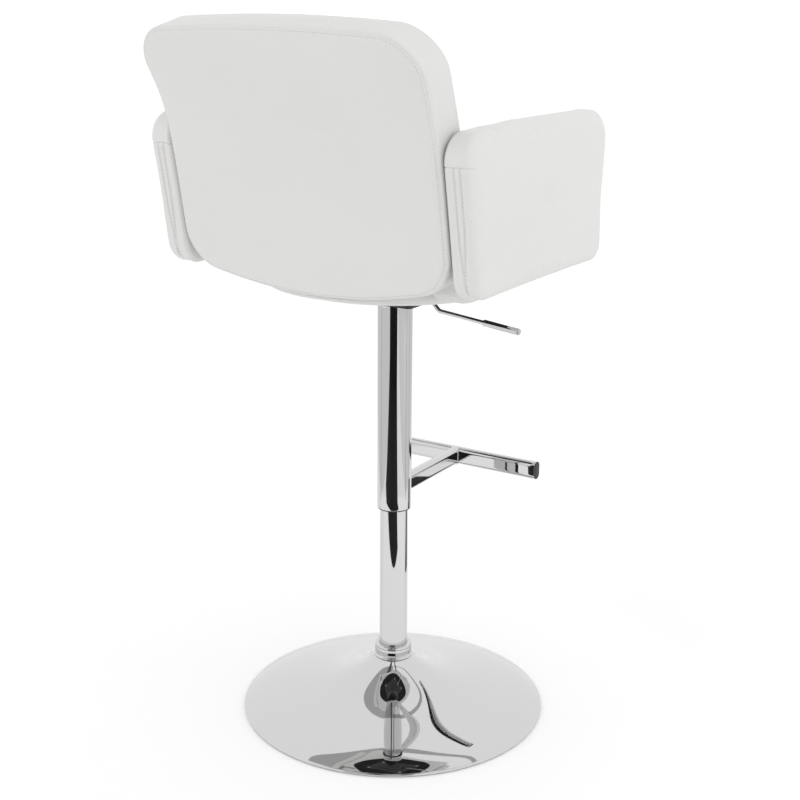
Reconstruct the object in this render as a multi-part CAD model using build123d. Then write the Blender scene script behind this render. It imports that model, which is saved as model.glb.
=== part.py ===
from build123d import *
import math
import os

# Adjustable swivel bar stool with a gas lift, a T-shaped footrest and a padded seat with arms.
# Origin on the column axis at floor level, +Z up, the sitter faces -Y. Millimetres.

# Base
BASE_RADIUS = 225.0
RIM_HEIGHT = 3.6
RIM_ROLL = 2.0
DISH_SKIN = 1.6
NECK_RADIUS = 29.3
NECK_TOP = 78.0
NECK_BORE = 21.0
FLOOR_RING_INNER = 213.0
FLOOR_RING_OUTER = 222.0
FLOOR_RING_HEIGHT = 6.0
WEIGHT_RADIUS = 170.0
WEIGHT_BOTTOM = 4.0
WEIGHT_THICKNESS = 7.0
FLANGE_RADIUS = 52.0
FLANGE_THICKNESS = 5.0
BASE_BOLT_CIRCLE = 38.0
BASE_BOLT_RADIUS = 4.0
BASE_BOLT_COUNT = 4
BASE_BOLT_HEAD_RADIUS = 7.0
BASE_BOLT_HEAD_HEIGHT = 5.0
BOLT_CLEARANCE = 0.2

# Column
STAND_RADIUS = 20.7
STAND_WALL = 2.0
STAND_BOTTOM = 4.0
STAND_TOP = 400.0
COLLAR_RADIUS = 28.4
COLLAR_HEIGHT = 20.0
COLLAR_EDGE = 3.2
TUBE_RADIUS = 25.0
TUBE_WALL = 1.5
TUBE_BOTTOM = 315.0
TUBE_TOP = 622.0
TOP_PLUG_HEIGHT = 10.0
RING_LIP = 1.6
RING_HEIGHT = 18.0
RUNNING_GAP = 0.05
BUSH_HEIGHT = 30.0
BUSH_LIP = 2.0

# Gas spring and swivel bearing
CYLINDER_RADIUS = 14.0
CYLINDER_BORE = 12.0
CYLINDER_BOTTOM = 300.0
CYLINDER_TOP = 638.0
GLAND_HEIGHT = 15.0
ROD_RADIUS = 5.0
ROD_BOTTOM = 13.0
HEAD_BOTTOM = 318.0
HEAD_HEIGHT = 12.0
PLATE_BOTTOM = 20.0
PLATE_HEIGHT = 6.0
RACE_OUTER = 14.0
RACE_HEIGHT = 1.5
BALL_RADIUS = 2.0
BALL_CIRCLE = 10.0
BALL_COUNT = 10
CAGE_HEIGHT = 1.8
SHOULDER_RADIUS = 8.0
SHOULDER_HEIGHT = 3.0
CLIP_HEIGHT = 1.2

# Footrest
BAR_THICKNESS = 15.0
BAR_HEIGHT = 27.0
BAR_WALL = 1.6
BAR_EDGE = 6.5
BAR_TOP = 355.0
BAR_REACH = 185.0
BAR_HALF_LENGTH = 139.0
PLUG_LIP = 1.6
PLUG_DEPTH = 12.0

# Release mechanism under the seat
HOUSING_HALF_X = 46.0
HOUSING_HALF_Y = 36.0
HOUSING_SKIN = 2.0
HOUSING_CORNER = 8.0
SLOT_DEPTH = 9.0
SLOT_STEP = 5.0
PLATE_SIZE_X = 190.0
PLATE_SIZE_Y = 170.0
PLATE_SKIN = 2.5
PLATE_CORNER = 14.0
SOCKET_RADIUS = 17.0
SOCKET_TOP = 638.0
SCREW_X = 80.0
SCREW_Y = 66.0
SCREW_RADIUS = 3.0
SCREW_LENGTH = 16.0
SCREW_HEAD_RADIUS = 6.0
SCREW_HEAD_HEIGHT = 3.0
VALVE_BOTTOM = 606.0
BUTTON_RADIUS = 3.5
BUTTON_BOTTOM = 614.0
BUTTON_TOP = 641.2
LEVER_RADIUS = 3.0
LEVER_HEIGHT = 645.0
PIVOT_X = -22.0
PIVOT_RADIUS = 2.5
BOSS_RADIUS = 6.0
BOSS_LENGTH = 16.0
LUG_THICKNESS = 2.0
LEVER_BEND = (-72.0, 616.5)
LEVER_END = (-197.0, 603.0)
LEVER_BEND_RADIUS = 7.0
LEVER_START_X = 3.0
GRIP_LENGTH = 56.0
GRIP_RADIUS = 4.6
GRIP_TIP = 3.0

# Seat, back and arms
SEAT_BOTTOM = 655.0
SEAT_STEP = 662.0
SEAT_SHOULDER = 690.0
SEAT_TOP = 745.0
SEAT_HALF_WIDTH = 203.4
SEAT_FRONT = -190.0
SEAT_REAR = 129.5
PAN_HALF_WIDTH = 172.0
PAN_FRONT = -165.0
PAN_REAR = 181.0
PAN_CORNER = 160.0
PAN_TAPER = 35.0
SEAT_TAPER = 48.0
SEAT_CORNER = 2.0
SEAT_EDGE = 14.0
COVER_INSET = 8.0
FRAME_HALF_WIDTH = 146.0
FRAME_FRONT = -136.0
FRAME_REAR = 124.0
FRAME_CORNER = 90.0
FRAME_BOARD = 15.0
RAIL_THICKNESS = 18.0
RAIL_TOP = 716.0
COVER_SKIN = 1.0
RECLINE_SLOPE = 0.186
BACK_HALF_WIDTH = 203.0
BACK_BOTTOM = 663.0
BACK_TOP = 1018.0
BACK_REAR = 197.5
BACK_KNEE_HEIGHT = 850.0
BACK_CURVE_POINT = (257.0, 920.0)
BACK_HEAD = 314.0
BACK_HEAD_SLOPE = 0.6
BACK_THICKNESS = 66.0
BACK_BOTTOM_BOW = 32.0
BACK_TOP_BOW = 7.0
BACK_LOW_CORNER = 45.0
BACK_HIGH_CORNER = 55.0
BACK_EDGE = 13.0
BACK_BOARD_WIDTH = 300.0
BACK_BOARD_HEIGHT = 190.0
BACK_BOARD_STEP = 35.0
BOARD_THICKNESS = 12.0
ARM_INNER = 204.6
ARM_OUTER = 242.0
ARM_BOTTOM = 681.0
ARM_TOP = 895.0
ARM_FRONT_TOP = -160.0
ARM_FRONT_BOTTOM = -152.0
ARM_SETBACK = 1.5
ARM_EDGE = 15.0
ARM_FRONT_CORNER = 42.0
ARM_REAR_CORNER = 30.0
ARM_LOW_CORNER = 26.0
ARM_BOARD_LENGTH = 260.0
ARM_BOARD_HEIGHT = 130.0
ARM_BOARD_INSET = 5.0
ARM_BOARD_MIDDLE = (20.0, 776.0)
BOLT_RADIUS = 4.0
BOLT_HEIGHT = 702.0
ARM_BOLT_HEIGHT = 708.0
BOLT_SPACING = 70.0
BOLT_RUN = 52.0
BOLT_STANDOFF = 4.0


def ring(outer, inner, bottom, height):
    """A plain ring about the column axis."""
    body = Cylinder(outer, height, align=(Align.CENTER, Align.CENTER, Align.MIN))
    hole = Cylinder(inner, height, align=(Align.CENTER, Align.CENTER, Align.MIN))
    return Pos(0, 0, bottom) * (body - hole)


def disc(radius, bottom, height):
    """A plain disc about the column axis."""
    return Pos(0, 0, bottom) * Cylinder(radius, height, align=(Align.CENTER, Align.CENTER, Align.MIN))


def block(low, high):
    """A box between two corners."""
    size = [high[i] - low[i] for i in range(3)]
    middle = [(high[i] + low[i]) / 2 for i in range(3)]
    return Pos(*middle) * Box(*size)


def rod_between(start, end, radius):
    """A round bar from one point to another."""
    line = Line(start, end)
    return sweep(Plane(start, z_dir=line % 0) * Circle(radius), path=line)


def dish_section(skin):
    """Radius and height of the dish's face from the neck to the rim, set in by skin square to the face."""
    face = [
        (NECK_RADIUS, NECK_TOP),
        (31.0, 74.7),
        (40.0, 66.5),
        (52.0, 57.9),
        (70.0, 47.9),
        (95.0, 37.9),
        (130.0, 28.4),
        (165.0, 20.7),
        (195.0, 13.6),
        (212.0, 8.3),
        (BASE_RADIUS - RIM_ROLL, RIM_HEIGHT),
    ]
    section = []
    for i, (radius, height) in enumerate(face):
        before = face[max(i - 1, 0)]
        after = face[min(i + 1, len(face) - 1)]
        slope = math.atan2(before[1] - after[1], after[0] - before[0])
        section.append((radius - skin * math.sin(slope), height - skin * math.cos(slope)))
    return section


def base_dish():
    upper = dish_section(0.0)
    lower = dish_section(DISH_SKIN)
    lip = (BASE_RADIUS, RIM_HEIGHT - DISH_SKIN)
    with BuildPart() as dish:
        with BuildSketch(Plane.XZ):
            with BuildLine():
                Spline(*upper)
                Line(upper[-1], lip)
                Line(lip, lower[-1])
                Spline(*lower)
                Line(lower[0], (NECK_BORE, NECK_TOP - DISH_SKIN))
                Line((NECK_BORE, NECK_TOP - DISH_SKIN), (NECK_BORE, NECK_TOP))
                Line((NECK_BORE, NECK_TOP), upper[0])
            make_face()
        revolve(axis=Axis.Z)
    return dish.part


def floor_ring(dish):
    blank = ring(FLOOR_RING_OUTER, FLOOR_RING_INNER, 0.0, FLOOR_RING_HEIGHT)
    cut = blank - dish
    return cut.solids().sort_by(Axis.Z)[0]


def bolt_places():
    step = 360.0 / BASE_BOLT_COUNT
    return [Rot(0, 0, step * (i + 0.5)) * Pos(BASE_BOLT_CIRCLE, 0, 0) for i in range(BASE_BOLT_COUNT)]


def base_weight():
    plate = ring(WEIGHT_RADIUS, STAND_RADIUS + 0.3, WEIGHT_BOTTOM, WEIGHT_THICKNESS)
    for place in bolt_places():
        plate -= place * disc(BASE_BOLT_RADIUS + BOLT_CLEARANCE, WEIGHT_BOTTOM, WEIGHT_THICKNESS)
    return plate


def foot_flange():
    bottom = WEIGHT_BOTTOM + WEIGHT_THICKNESS
    plate = ring(FLANGE_RADIUS, STAND_RADIUS, bottom, FLANGE_THICKNESS)
    for place in bolt_places():
        plate -= place * disc(BASE_BOLT_RADIUS + BOLT_CLEARANCE, bottom, FLANGE_THICKNESS)
    return plate


def base_bolts():
    head_bottom = WEIGHT_BOTTOM + WEIGHT_THICKNESS + FLANGE_THICKNESS
    head = Pos(0, 0, head_bottom) * extrude(RegularPolygon(BASE_BOLT_HEAD_RADIUS, 6), amount=BASE_BOLT_HEAD_HEIGHT)
    bolt = head + disc(BASE_BOLT_RADIUS, WEIGHT_BOTTOM, head_bottom - WEIGHT_BOTTOM)
    return Compound(children=[place * bolt for place in bolt_places()])


def stand_tube():
    return ring(STAND_RADIUS, STAND_RADIUS - STAND_WALL, STAND_BOTTOM, STAND_TOP - STAND_BOTTOM)


def neck_collar():
    body = ring(COLLAR_RADIUS, STAND_RADIUS, NECK_TOP, COLLAR_HEIGHT)
    outer = body.edges().filter_by(GeomType.CIRCLE).filter_by(lambda e: e.radius > COLLAR_RADIUS - 0.1)
    return fillet(outer, COLLAR_EDGE)


def guide_bush():
    inner = CYLINDER_RADIUS + RUNNING_GAP
    sleeve = ring(STAND_RADIUS - STAND_WALL, inner, STAND_TOP - BUSH_HEIGHT, BUSH_HEIGHT)
    return sleeve + ring(STAND_RADIUS, inner, STAND_TOP, BUSH_LIP)


def bearing_plate():
    return ring(STAND_RADIUS - STAND_WALL, ROD_RADIUS + 0.4, PLATE_BOTTOM, PLATE_HEIGHT)


def bearing_levels():
    """Heights of the lower race, the ball centres and the upper race."""
    lower = PLATE_BOTTOM + PLATE_HEIGHT
    centre = lower + RACE_HEIGHT + RUNNING_GAP + BALL_RADIUS
    upper = centre + BALL_RADIUS + RUNNING_GAP
    return lower, centre, upper


def lower_race():
    return ring(RACE_OUTER, ROD_RADIUS + 0.6, bearing_levels()[0], RACE_HEIGHT)


def ball_places():
    step = 360.0 / BALL_COUNT
    height = bearing_levels()[1]
    return [Rot(0, 0, step * i) * Pos(BALL_CIRCLE, 0, height) for i in range(BALL_COUNT)]


def ball_cage():
    cage = ring(RACE_OUTER - 0.6, ROD_RADIUS + 1.0, bearing_levels()[1] - CAGE_HEIGHT / 2, CAGE_HEIGHT)
    for place in ball_places():
        cage -= place * Sphere(BALL_RADIUS)
    return cage


def bearing_balls():
    return Compound(children=[place * Sphere(BALL_RADIUS) for place in ball_places()])


def upper_race():
    return ring(RACE_OUTER, ROD_RADIUS, bearing_levels()[2], RACE_HEIGHT)


def piston_rod():
    rod = disc(ROD_RADIUS, ROD_BOTTOM, HEAD_BOTTOM + HEAD_HEIGHT - ROD_BOTTOM)
    shoulder = disc(SHOULDER_RADIUS, bearing_levels()[2] + RACE_HEIGHT, SHOULDER_HEIGHT)
    return rod + shoulder


def rod_clip():
    return ring(SHOULDER_RADIUS + 0.5, ROD_RADIUS, PLATE_BOTTOM - 0.3 - CLIP_HEIGHT, CLIP_HEIGHT)


def piston_head():
    return ring(CYLINDER_BORE - RUNNING_GAP, ROD_RADIUS, HEAD_BOTTOM, HEAD_HEIGHT)


def gas_cylinder():
    return ring(CYLINDER_RADIUS, CYLINDER_BORE, CYLINDER_BOTTOM, CYLINDER_TOP - CYLINDER_BOTTOM)


def cylinder_gland():
    return ring(CYLINDER_BORE, ROD_RADIUS + RUNNING_GAP, CYLINDER_BOTTOM, GLAND_HEIGHT)


def valve_body():
    plug = disc(CYLINDER_BORE, VALVE_BOTTOM, CYLINDER_TOP - VALVE_BOTTOM)
    return plug - disc(BUTTON_RADIUS + RUNNING_GAP, VALVE_BOTTOM + 4.0, CYLINDER_TOP - VALVE_BOTTOM)


def valve_button():
    pin = disc(BUTTON_RADIUS, BUTTON_BOTTOM, BUTTON_TOP - BUTTON_BOTTOM)
    return chamfer(pin.edges().group_by(Axis.Z)[-1], 0.6)


def upper_tube():
    return ring(TUBE_RADIUS, TUBE_RADIUS - TUBE_WALL, TUBE_BOTTOM, TUBE_TOP - TUBE_BOTTOM)


def tube_guide_ring():
    inner = STAND_RADIUS + RUNNING_GAP
    sleeve = ring(TUBE_RADIUS - TUBE_WALL, inner, TUBE_BOTTOM, RING_HEIGHT)
    return sleeve + ring(TUBE_RADIUS - 0.3, inner, TUBE_BOTTOM - RING_LIP, RING_LIP)


def tube_top_plug():
    return ring(TUBE_RADIUS - TUBE_WALL, CYLINDER_RADIUS, TUBE_TOP - TOP_PLUG_HEIGHT, TOP_PLUG_HEIGHT)


def bar_section(plane, shrink):
    """The flat-oval tube outline of the footrest, made smaller by shrink all round."""
    width = BAR_THICKNESS - 2 * shrink
    height = BAR_HEIGHT - 2 * shrink
    return plane * RectangleRounded(width, height, BAR_EDGE - shrink)


def footrest_crossbar():
    middle = BAR_TOP - BAR_HEIGHT / 2
    plane = Plane(origin=(-BAR_HALF_LENGTH, -BAR_REACH, middle), x_dir=(0, 1, 0), z_dir=(1, 0, 0))
    outer = extrude(bar_section(plane, 0.0), amount=2 * BAR_HALF_LENGTH)
    inner = extrude(bar_section(plane, BAR_WALL), amount=2 * BAR_HALF_LENGTH)
    return outer - inner


def footrest_stem():
    middle = BAR_TOP - BAR_HEIGHT / 2
    length = BAR_REACH - BAR_THICKNESS / 2
    plane = Plane(origin=(0, 0, middle), x_dir=(1, 0, 0), z_dir=(0, -1, 0))
    outer = extrude(bar_section(plane, 0.0), amount=length)
    inner = extrude(bar_section(plane, BAR_WALL), amount=length)
    return outer - inner - disc(TUBE_RADIUS, 0.0, TUBE_TOP)


def footrest_end_caps():
    middle = BAR_TOP - BAR_HEIGHT / 2
    caps = []
    for side in (-1, 1):
        plane = Plane(origin=(side * BAR_HALF_LENGTH, -BAR_REACH, middle), x_dir=(0, 1, 0), z_dir=(side, 0, 0))
        lip = extrude(bar_section(plane, 0.2), amount=PLUG_LIP)
        plug = extrude(bar_section(plane, BAR_WALL), amount=-PLUG_DEPTH)
        caps.append(lip + plug)
    return Compound(children=caps)


def mechanism_housing():
    top = SEAT_BOTTOM - COVER_SKIN - PLATE_SKIN
    shell = block((-HOUSING_HALF_X, -HOUSING_HALF_Y, TUBE_TOP), (HOUSING_HALF_X, HOUSING_HALF_Y, top))
    shell = fillet(shell.edges().filter_by(Axis.Z), HOUSING_CORNER)
    hollow = block(
        (-HOUSING_HALF_X + HOUSING_SKIN, -HOUSING_HALF_Y + HOUSING_SKIN, TUBE_TOP + HOUSING_SKIN),
        (HOUSING_HALF_X - HOUSING_SKIN, HOUSING_HALF_Y - HOUSING_SKIN, top),
    )
    shell -= fillet(hollow.edges().filter_by(Axis.Z), HOUSING_CORNER - HOUSING_SKIN)
    shell += disc(SOCKET_RADIUS, TUBE_TOP, SOCKET_TOP - TUBE_TOP)
    shell -= disc(CYLINDER_RADIUS, TUBE_TOP, SOCKET_TOP - TUBE_TOP)
    slot_half = LEVER_RADIUS + 1.5
    slot_low = (-HOUSING_HALF_X - 1.0, -slot_half, TUBE_TOP + SLOT_STEP)
    shell -= block(slot_low, (-HOUSING_HALF_X + SLOT_DEPTH, slot_half, top))
    lug_inner = BOSS_LENGTH / 2 + 0.5
    for side in (-1, 1):
        near = side * lug_inner
        far = side * (lug_inner + LUG_THICKNESS)
        low = (PIVOT_X - BOSS_RADIUS, min(near, far), TUBE_TOP + HOUSING_SKIN)
        shell += block(low, (PIVOT_X + BOSS_RADIUS, max(near, far), top))
    shell -= disc(CYLINDER_RADIUS, TUBE_TOP, SOCKET_TOP - TUBE_TOP)
    return shell - lever_pivot_pin()


def lever_pivot_pin():
    half = BOSS_LENGTH / 2 + 0.5 + LUG_THICKNESS + 1.0
    return rod_between((PIVOT_X, -half, LEVER_HEIGHT), (PIVOT_X, half, LEVER_HEIGHT), PIVOT_RADIUS)


def screw_places():
    return [Pos(x, y, 0) for x in (-SCREW_X, SCREW_X) for y in (-SCREW_Y, SCREW_Y)]


def seat_plate():
    top = SEAT_BOTTOM - COVER_SKIN
    plate = extrude(RectangleRounded(PLATE_SIZE_X, PLATE_SIZE_Y, PLATE_CORNER), amount=PLATE_SKIN)
    plate = Pos(0, 0, top - PLATE_SKIN) * plate
    for place in screw_places():
        plate -= place * disc(SCREW_RADIUS + BOLT_CLEARANCE, top - PLATE_SKIN, PLATE_SKIN)
    return plate


def plate_screws():
    under = SEAT_BOTTOM - COVER_SKIN - PLATE_SKIN
    head = disc(SCREW_HEAD_RADIUS, under - SCREW_HEAD_HEIGHT, SCREW_HEAD_HEIGHT)
    screw = head + disc(SCREW_RADIUS, under, SCREW_LENGTH)
    return Compound(children=[place * screw for place in screw_places()])


def lever_points():
    inner = (LEVER_START_X, 0.0, LEVER_HEIGHT)
    drop = LEVER_HEIGHT - LEVER_BEND[1]
    knee = (LEVER_BEND[0] + drop, 0.0, LEVER_HEIGHT)
    return inner, knee, (LEVER_BEND[0], 0.0, LEVER_BEND[1]), (LEVER_END[0], 0.0, LEVER_END[1])


def grip_start():
    """Point on the lever's outer run where the grip sleeve begins."""
    bend, end = lever_points()[2:]
    run = math.dist(bend, end)
    share = (run - GRIP_LENGTH) / run
    return tuple(bend[i] + share * (end[i] - bend[i]) for i in range(3))


def release_lever():
    path = FilletPolyline(*lever_points(), radius=LEVER_BEND_RADIUS)
    start = lever_points()[0]
    bar = sweep(Plane(start, z_dir=path % 0) * Circle(LEVER_RADIUS), path=path)
    half = BOSS_LENGTH / 2
    boss = rod_between((PIVOT_X, -half, LEVER_HEIGHT), (PIVOT_X, half, LEVER_HEIGHT), BOSS_RADIUS)
    hole = rod_between(
        (PIVOT_X, -half - 1, LEVER_HEIGHT), (PIVOT_X, half + 1, LEVER_HEIGHT), PIVOT_RADIUS + RUNNING_GAP
    )
    return bar + boss - hole


def lever_grip():
    bend, end = lever_points()[2:]
    run = math.dist(bend, end)
    tip = tuple(end[i] + GRIP_TIP * (end[i] - bend[i]) / run for i in range(3))
    sleeve = rod_between(grip_start(), tip, GRIP_RADIUS)
    sleeve = fillet(sleeve.edges().group_by(Axis.X)[0], GRIP_TIP)
    return sleeve - rod_between(grip_start(), end, LEVER_RADIUS)


def centred_rectangle(front, rear, half_width, corner):
    """A rounded rectangle between two Y values, centred on X."""
    return Pos(0, (front + rear) / 2) * RectangleRounded(2 * half_width, rear - front, corner)


def seat_frame():
    bottom = SEAT_BOTTOM
    outline = centred_rectangle(FRAME_FRONT, FRAME_REAR, FRAME_HALF_WIDTH, FRAME_CORNER)
    board = Pos(0, 0, bottom) * extrude(outline, amount=FRAME_BOARD)
    for side in (-1, 1):
        inner = side * (FRAME_HALF_WIDTH - RAIL_THICKNESS)
        outer = side * FRAME_HALF_WIDTH
        low = (min(inner, outer), -BOLT_SPACING, bottom + FRAME_BOARD)
        board += block(low, (max(inner, outer), BOLT_SPACING * 0.85, RAIL_TOP))
    low = (-BOLT_SPACING, FRAME_REAR - RAIL_THICKNESS, bottom + FRAME_BOARD)
    board += block(low, (BOLT_SPACING, FRAME_REAR, RAIL_TOP))
    for place in screw_places():
        board -= place * disc(SCREW_RADIUS, bottom, SCREW_LENGTH - PLATE_SKIN - COVER_SKIN)
    return board - arm_bolts() - back_bolts()


def dust_cover():
    front = PAN_FRONT + COVER_INSET
    rear = PAN_REAR - COVER_INSET
    outline = centred_rectangle(front, rear, PAN_HALF_WIDTH - COVER_INSET, PAN_CORNER - COVER_INSET)
    cloth = Pos(0, 0, SEAT_BOTTOM - COVER_SKIN) * extrude(outline, amount=COVER_SKIN)
    for place in screw_places():
        cloth -= place * disc(SCREW_RADIUS + BOLT_CLEARANCE, SEAT_BOTTOM - COVER_SKIN, COVER_SKIN)
    return cloth


def seat_cushion():
    lean = RECLINE_SLOPE * (SEAT_TOP - SEAT_SHOULDER)
    with BuildPart() as upper:
        with BuildSketch(Plane.YZ.offset(-SEAT_HALF_WIDTH)):
            with BuildLine():
                Polyline(
                    (SEAT_FRONT, SEAT_SHOULDER),
                    (SEAT_FRONT, SEAT_TOP),
                    (SEAT_REAR + lean, SEAT_TOP),
                    (SEAT_REAR, SEAT_SHOULDER),
                    close=True,
                )
            make_face()
        extrude(amount=2 * SEAT_HALF_WIDTH)
    top = fillet(upper.part.edges().group_by(Axis.Z)[-1], SEAT_EDGE)
    shoulder = centred_rectangle(SEAT_FRONT, SEAT_REAR, SEAT_HALF_WIDTH, SEAT_CORNER)
    lower = extrude(Pos(0, 0, SEAT_SHOULDER) * shoulder, amount=SEAT_STEP - SEAT_SHOULDER, taper=SEAT_TAPER)
    pan = centred_rectangle(PAN_FRONT, PAN_REAR, PAN_HALF_WIDTH, PAN_CORNER)
    step = extrude(Pos(0, 0, SEAT_STEP) * pan, amount=SEAT_BOTTOM - SEAT_STEP, taper=PAN_TAPER)
    whole = top + lower + step
    whole -= seat_frame()
    whole -= arm_bolts()
    whole -= back_bolts()
    for place in screw_places():
        whole -= place * disc(SCREW_RADIUS, SEAT_BOTTOM, SCREW_LENGTH - PLATE_SKIN - COVER_SKIN)
    return whole


def back_side_curve(offset):
    """Side outline of the back, from its foot to its head, moved forwards by offset."""
    foot = (BACK_REAR - offset, BACK_BOTTOM)
    knee_depth = BACK_REAR + RECLINE_SLOPE * (BACK_KNEE_HEIGHT - BACK_BOTTOM)
    knee = (knee_depth - offset, BACK_KNEE_HEIGHT)
    middle = (BACK_CURVE_POINT[0] - offset, BACK_CURVE_POINT[1])
    head = (BACK_HEAD - offset, BACK_TOP)
    curve = Spline(knee, middle, head, tangents=((RECLINE_SLOPE, 1.0), (BACK_HEAD_SLOPE, 1.0)))
    return Line(foot, knee), curve


def back_blank():
    """The back's side outline carried across its width."""
    with BuildPart() as blank:
        with BuildSketch(Plane.YZ.offset(-BACK_HALF_WIDTH)):
            with BuildLine():
                rear_line, rear_curve = back_side_curve(0.0)
                front_line, front_curve = back_side_curve(BACK_THICKNESS)
                add([rear_line, rear_curve, front_line, front_curve])
                Line(rear_curve @ 1, front_curve @ 1)
                Line(rear_line @ 0, front_line @ 0)
            make_face()
        extrude(amount=2 * BACK_HALF_WIDTH)
    return blank.part


def back_outline():
    """The back's outline seen square on, with a bowed foot and head."""
    side_low = BACK_BOTTOM + BACK_BOTTOM_BOW
    side_high = BACK_TOP - BACK_TOP_BOW
    width = BACK_HALF_WIDTH
    with BuildSketch() as outline:
        with BuildLine():
            ThreePointArc((-width, side_low), (0, BACK_BOTTOM), (width, side_low))
            Line((width, side_low), (width, side_high))
            ThreePointArc((width, side_high), (0, BACK_TOP), (-width, side_high))
            Line((-width, side_high), (-width, side_low))
        make_face()
        fillet(outline.vertices().group_by(Axis.Y)[0], BACK_LOW_CORNER)
        fillet(outline.vertices().group_by(Axis.Y)[-1], BACK_HIGH_CORNER)
    facing = Plane(origin=(0, BACK_HEAD + BACK_THICKNESS, 0), x_dir=(1, 0, 0), z_dir=(0, -1, 0))
    return extrude(facing * outline.sketch, amount=BACK_HEAD)


def back_pad():
    pad = back_blank() & back_outline()
    pad = fillet(pad.edges(), BACK_EDGE)
    return pad - back_board_pocket() - back_bolts()


def back_board_frame():
    """Place of the back board: leaning with the back, halfway through its thickness."""
    lean = math.degrees(math.atan(RECLINE_SLOPE))
    height = BACK_BOTTOM + BACK_BOARD_STEP + BACK_BOARD_HEIGHT / 2
    depth = BACK_REAR + RECLINE_SLOPE * (height - BACK_BOTTOM) - BACK_THICKNESS / 2
    return Pos(0, depth, height) * Rot(-lean, 0, 0)


def back_board():
    blank = back_board_frame() * Box(BACK_BOARD_WIDTH, BOARD_THICKNESS, BACK_BOARD_HEIGHT)
    return blank - back_bolts()


def back_board_pocket():
    blank = Box(BACK_BOARD_WIDTH, BACK_THICKNESS, BACK_BOARD_HEIGHT)
    shift = Pos(0, (BOARD_THICKNESS - BACK_THICKNESS) / 2, 0)
    return back_board_frame() * (shift * blank)


def back_bolts():
    bolts = []
    for side in (-1, 1):
        x = side * BOLT_SPACING * 0.6
        start = (x, FRAME_REAR - RAIL_THICKNESS - BOLT_STANDOFF, BOLT_HEIGHT)
        end = (x, SEAT_REAR + BOLT_RUN, BOLT_HEIGHT)
        bolts.append(rod_between(start, end, BOLT_RADIUS))
    return Compound(children=bolts)


def rear_plane(height):
    """Y of the arms' rear end at a height."""
    return BACK_REAR - ARM_SETBACK + RECLINE_SLOPE * (height - BACK_BOTTOM)


def arm_blank():
    """An arm pad on the +X side, before its board pocket is cut."""
    with BuildSketch() as side:
        Polygon(
            (rear_plane(ARM_BOTTOM), ARM_BOTTOM),
            (rear_plane(ARM_TOP), ARM_TOP),
            (ARM_FRONT_TOP, ARM_TOP),
            (ARM_FRONT_BOTTOM, ARM_BOTTOM),
            align=None,
        )
        for y, z, radius in (
            (ARM_FRONT_TOP, ARM_TOP, ARM_FRONT_CORNER),
            (ARM_FRONT_BOTTOM, ARM_BOTTOM, ARM_LOW_CORNER),
            (rear_plane(ARM_TOP), ARM_TOP, ARM_REAR_CORNER),
            (rear_plane(ARM_BOTTOM), ARM_BOTTOM, ARM_LOW_CORNER),
        ):
            fillet(side.vertices().sort_by_distance((y, z, 0))[0], radius)
    slab = extrude(Plane.YZ.offset(ARM_INNER) * side.sketch, amount=ARM_OUTER - ARM_INNER)
    rims = slab.edges().group_by(Axis.X)
    return fillet(rims[0] + rims[-1], ARM_EDGE)


def arm_board():
    middle_y, middle_z = ARM_BOARD_MIDDLE
    low = (ARM_INNER + ARM_BOARD_INSET, middle_y - ARM_BOARD_LENGTH / 2, middle_z - ARM_BOARD_HEIGHT / 2)
    high_x = ARM_INNER + ARM_BOARD_INSET + BOARD_THICKNESS
    high = (high_x, middle_y + ARM_BOARD_LENGTH / 2, middle_z + ARM_BOARD_HEIGHT / 2)
    return block(low, high), block((ARM_INNER - 1, low[1], low[2]), high)


def arm_bolts():
    bolts = []
    for side in (-1, 1):
        for y in (-BOLT_SPACING * 0.7, BOLT_SPACING * 0.7):
            near = side * (FRAME_HALF_WIDTH - RAIL_THICKNESS - BOLT_STANDOFF)
            far = side * (ARM_INNER + ARM_BOARD_INSET + BOARD_THICKNESS)
            start = (near, y, ARM_BOLT_HEIGHT)
            end = (far, y, ARM_BOLT_HEIGHT)
            bolts.append(rod_between(start, end, BOLT_RADIUS))
    return Compound(children=bolts)


def arm_pieces(side):
    """The pad and board of one arm; side is 1 for the sitter's left, -1 for the right."""
    board, pocket = arm_board()
    pad = arm_blank() - pocket
    if side < 0:
        pad = mirror(pad, about=Plane.YZ)
        board = mirror(board, about=Plane.YZ)
    return pad - arm_bolts(), board - arm_bolts()


def write(name, shape):
    export_step(shape, os.path.join("parts", name + ".step"))


os.makedirs("parts", exist_ok=True)
dish = base_dish()
write("base_dish", dish)
write("floor_ring", floor_ring(dish))
for make in (
    base_weight,
    foot_flange,
    base_bolts,
    stand_tube,
    neck_collar,
    guide_bush,
    bearing_plate,
    lower_race,
    ball_cage,
    bearing_balls,
    upper_race,
    piston_rod,
    rod_clip,
    piston_head,
    gas_cylinder,
    cylinder_gland,
    valve_body,
    valve_button,
    upper_tube,
    tube_guide_ring,
    tube_top_plug,
    footrest_crossbar,
    footrest_stem,
    footrest_end_caps,
    mechanism_housing,
    lever_pivot_pin,
    seat_plate,
    plate_screws,
    release_lever,
    lever_grip,
    seat_frame,
    dust_cover,
    seat_cushion,
    back_pad,
    back_board,
    back_bolts,
    arm_bolts,
):
    write(make.__name__, make())
for name, side in (("left", 1), ("right", -1)):
    pad, board = arm_pieces(side)
    write("arm_pad_" + name, pad)
    write("arm_board_" + name, board)
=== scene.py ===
import bpy
import numpy as np
from mathutils import Matrix, Vector


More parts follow.
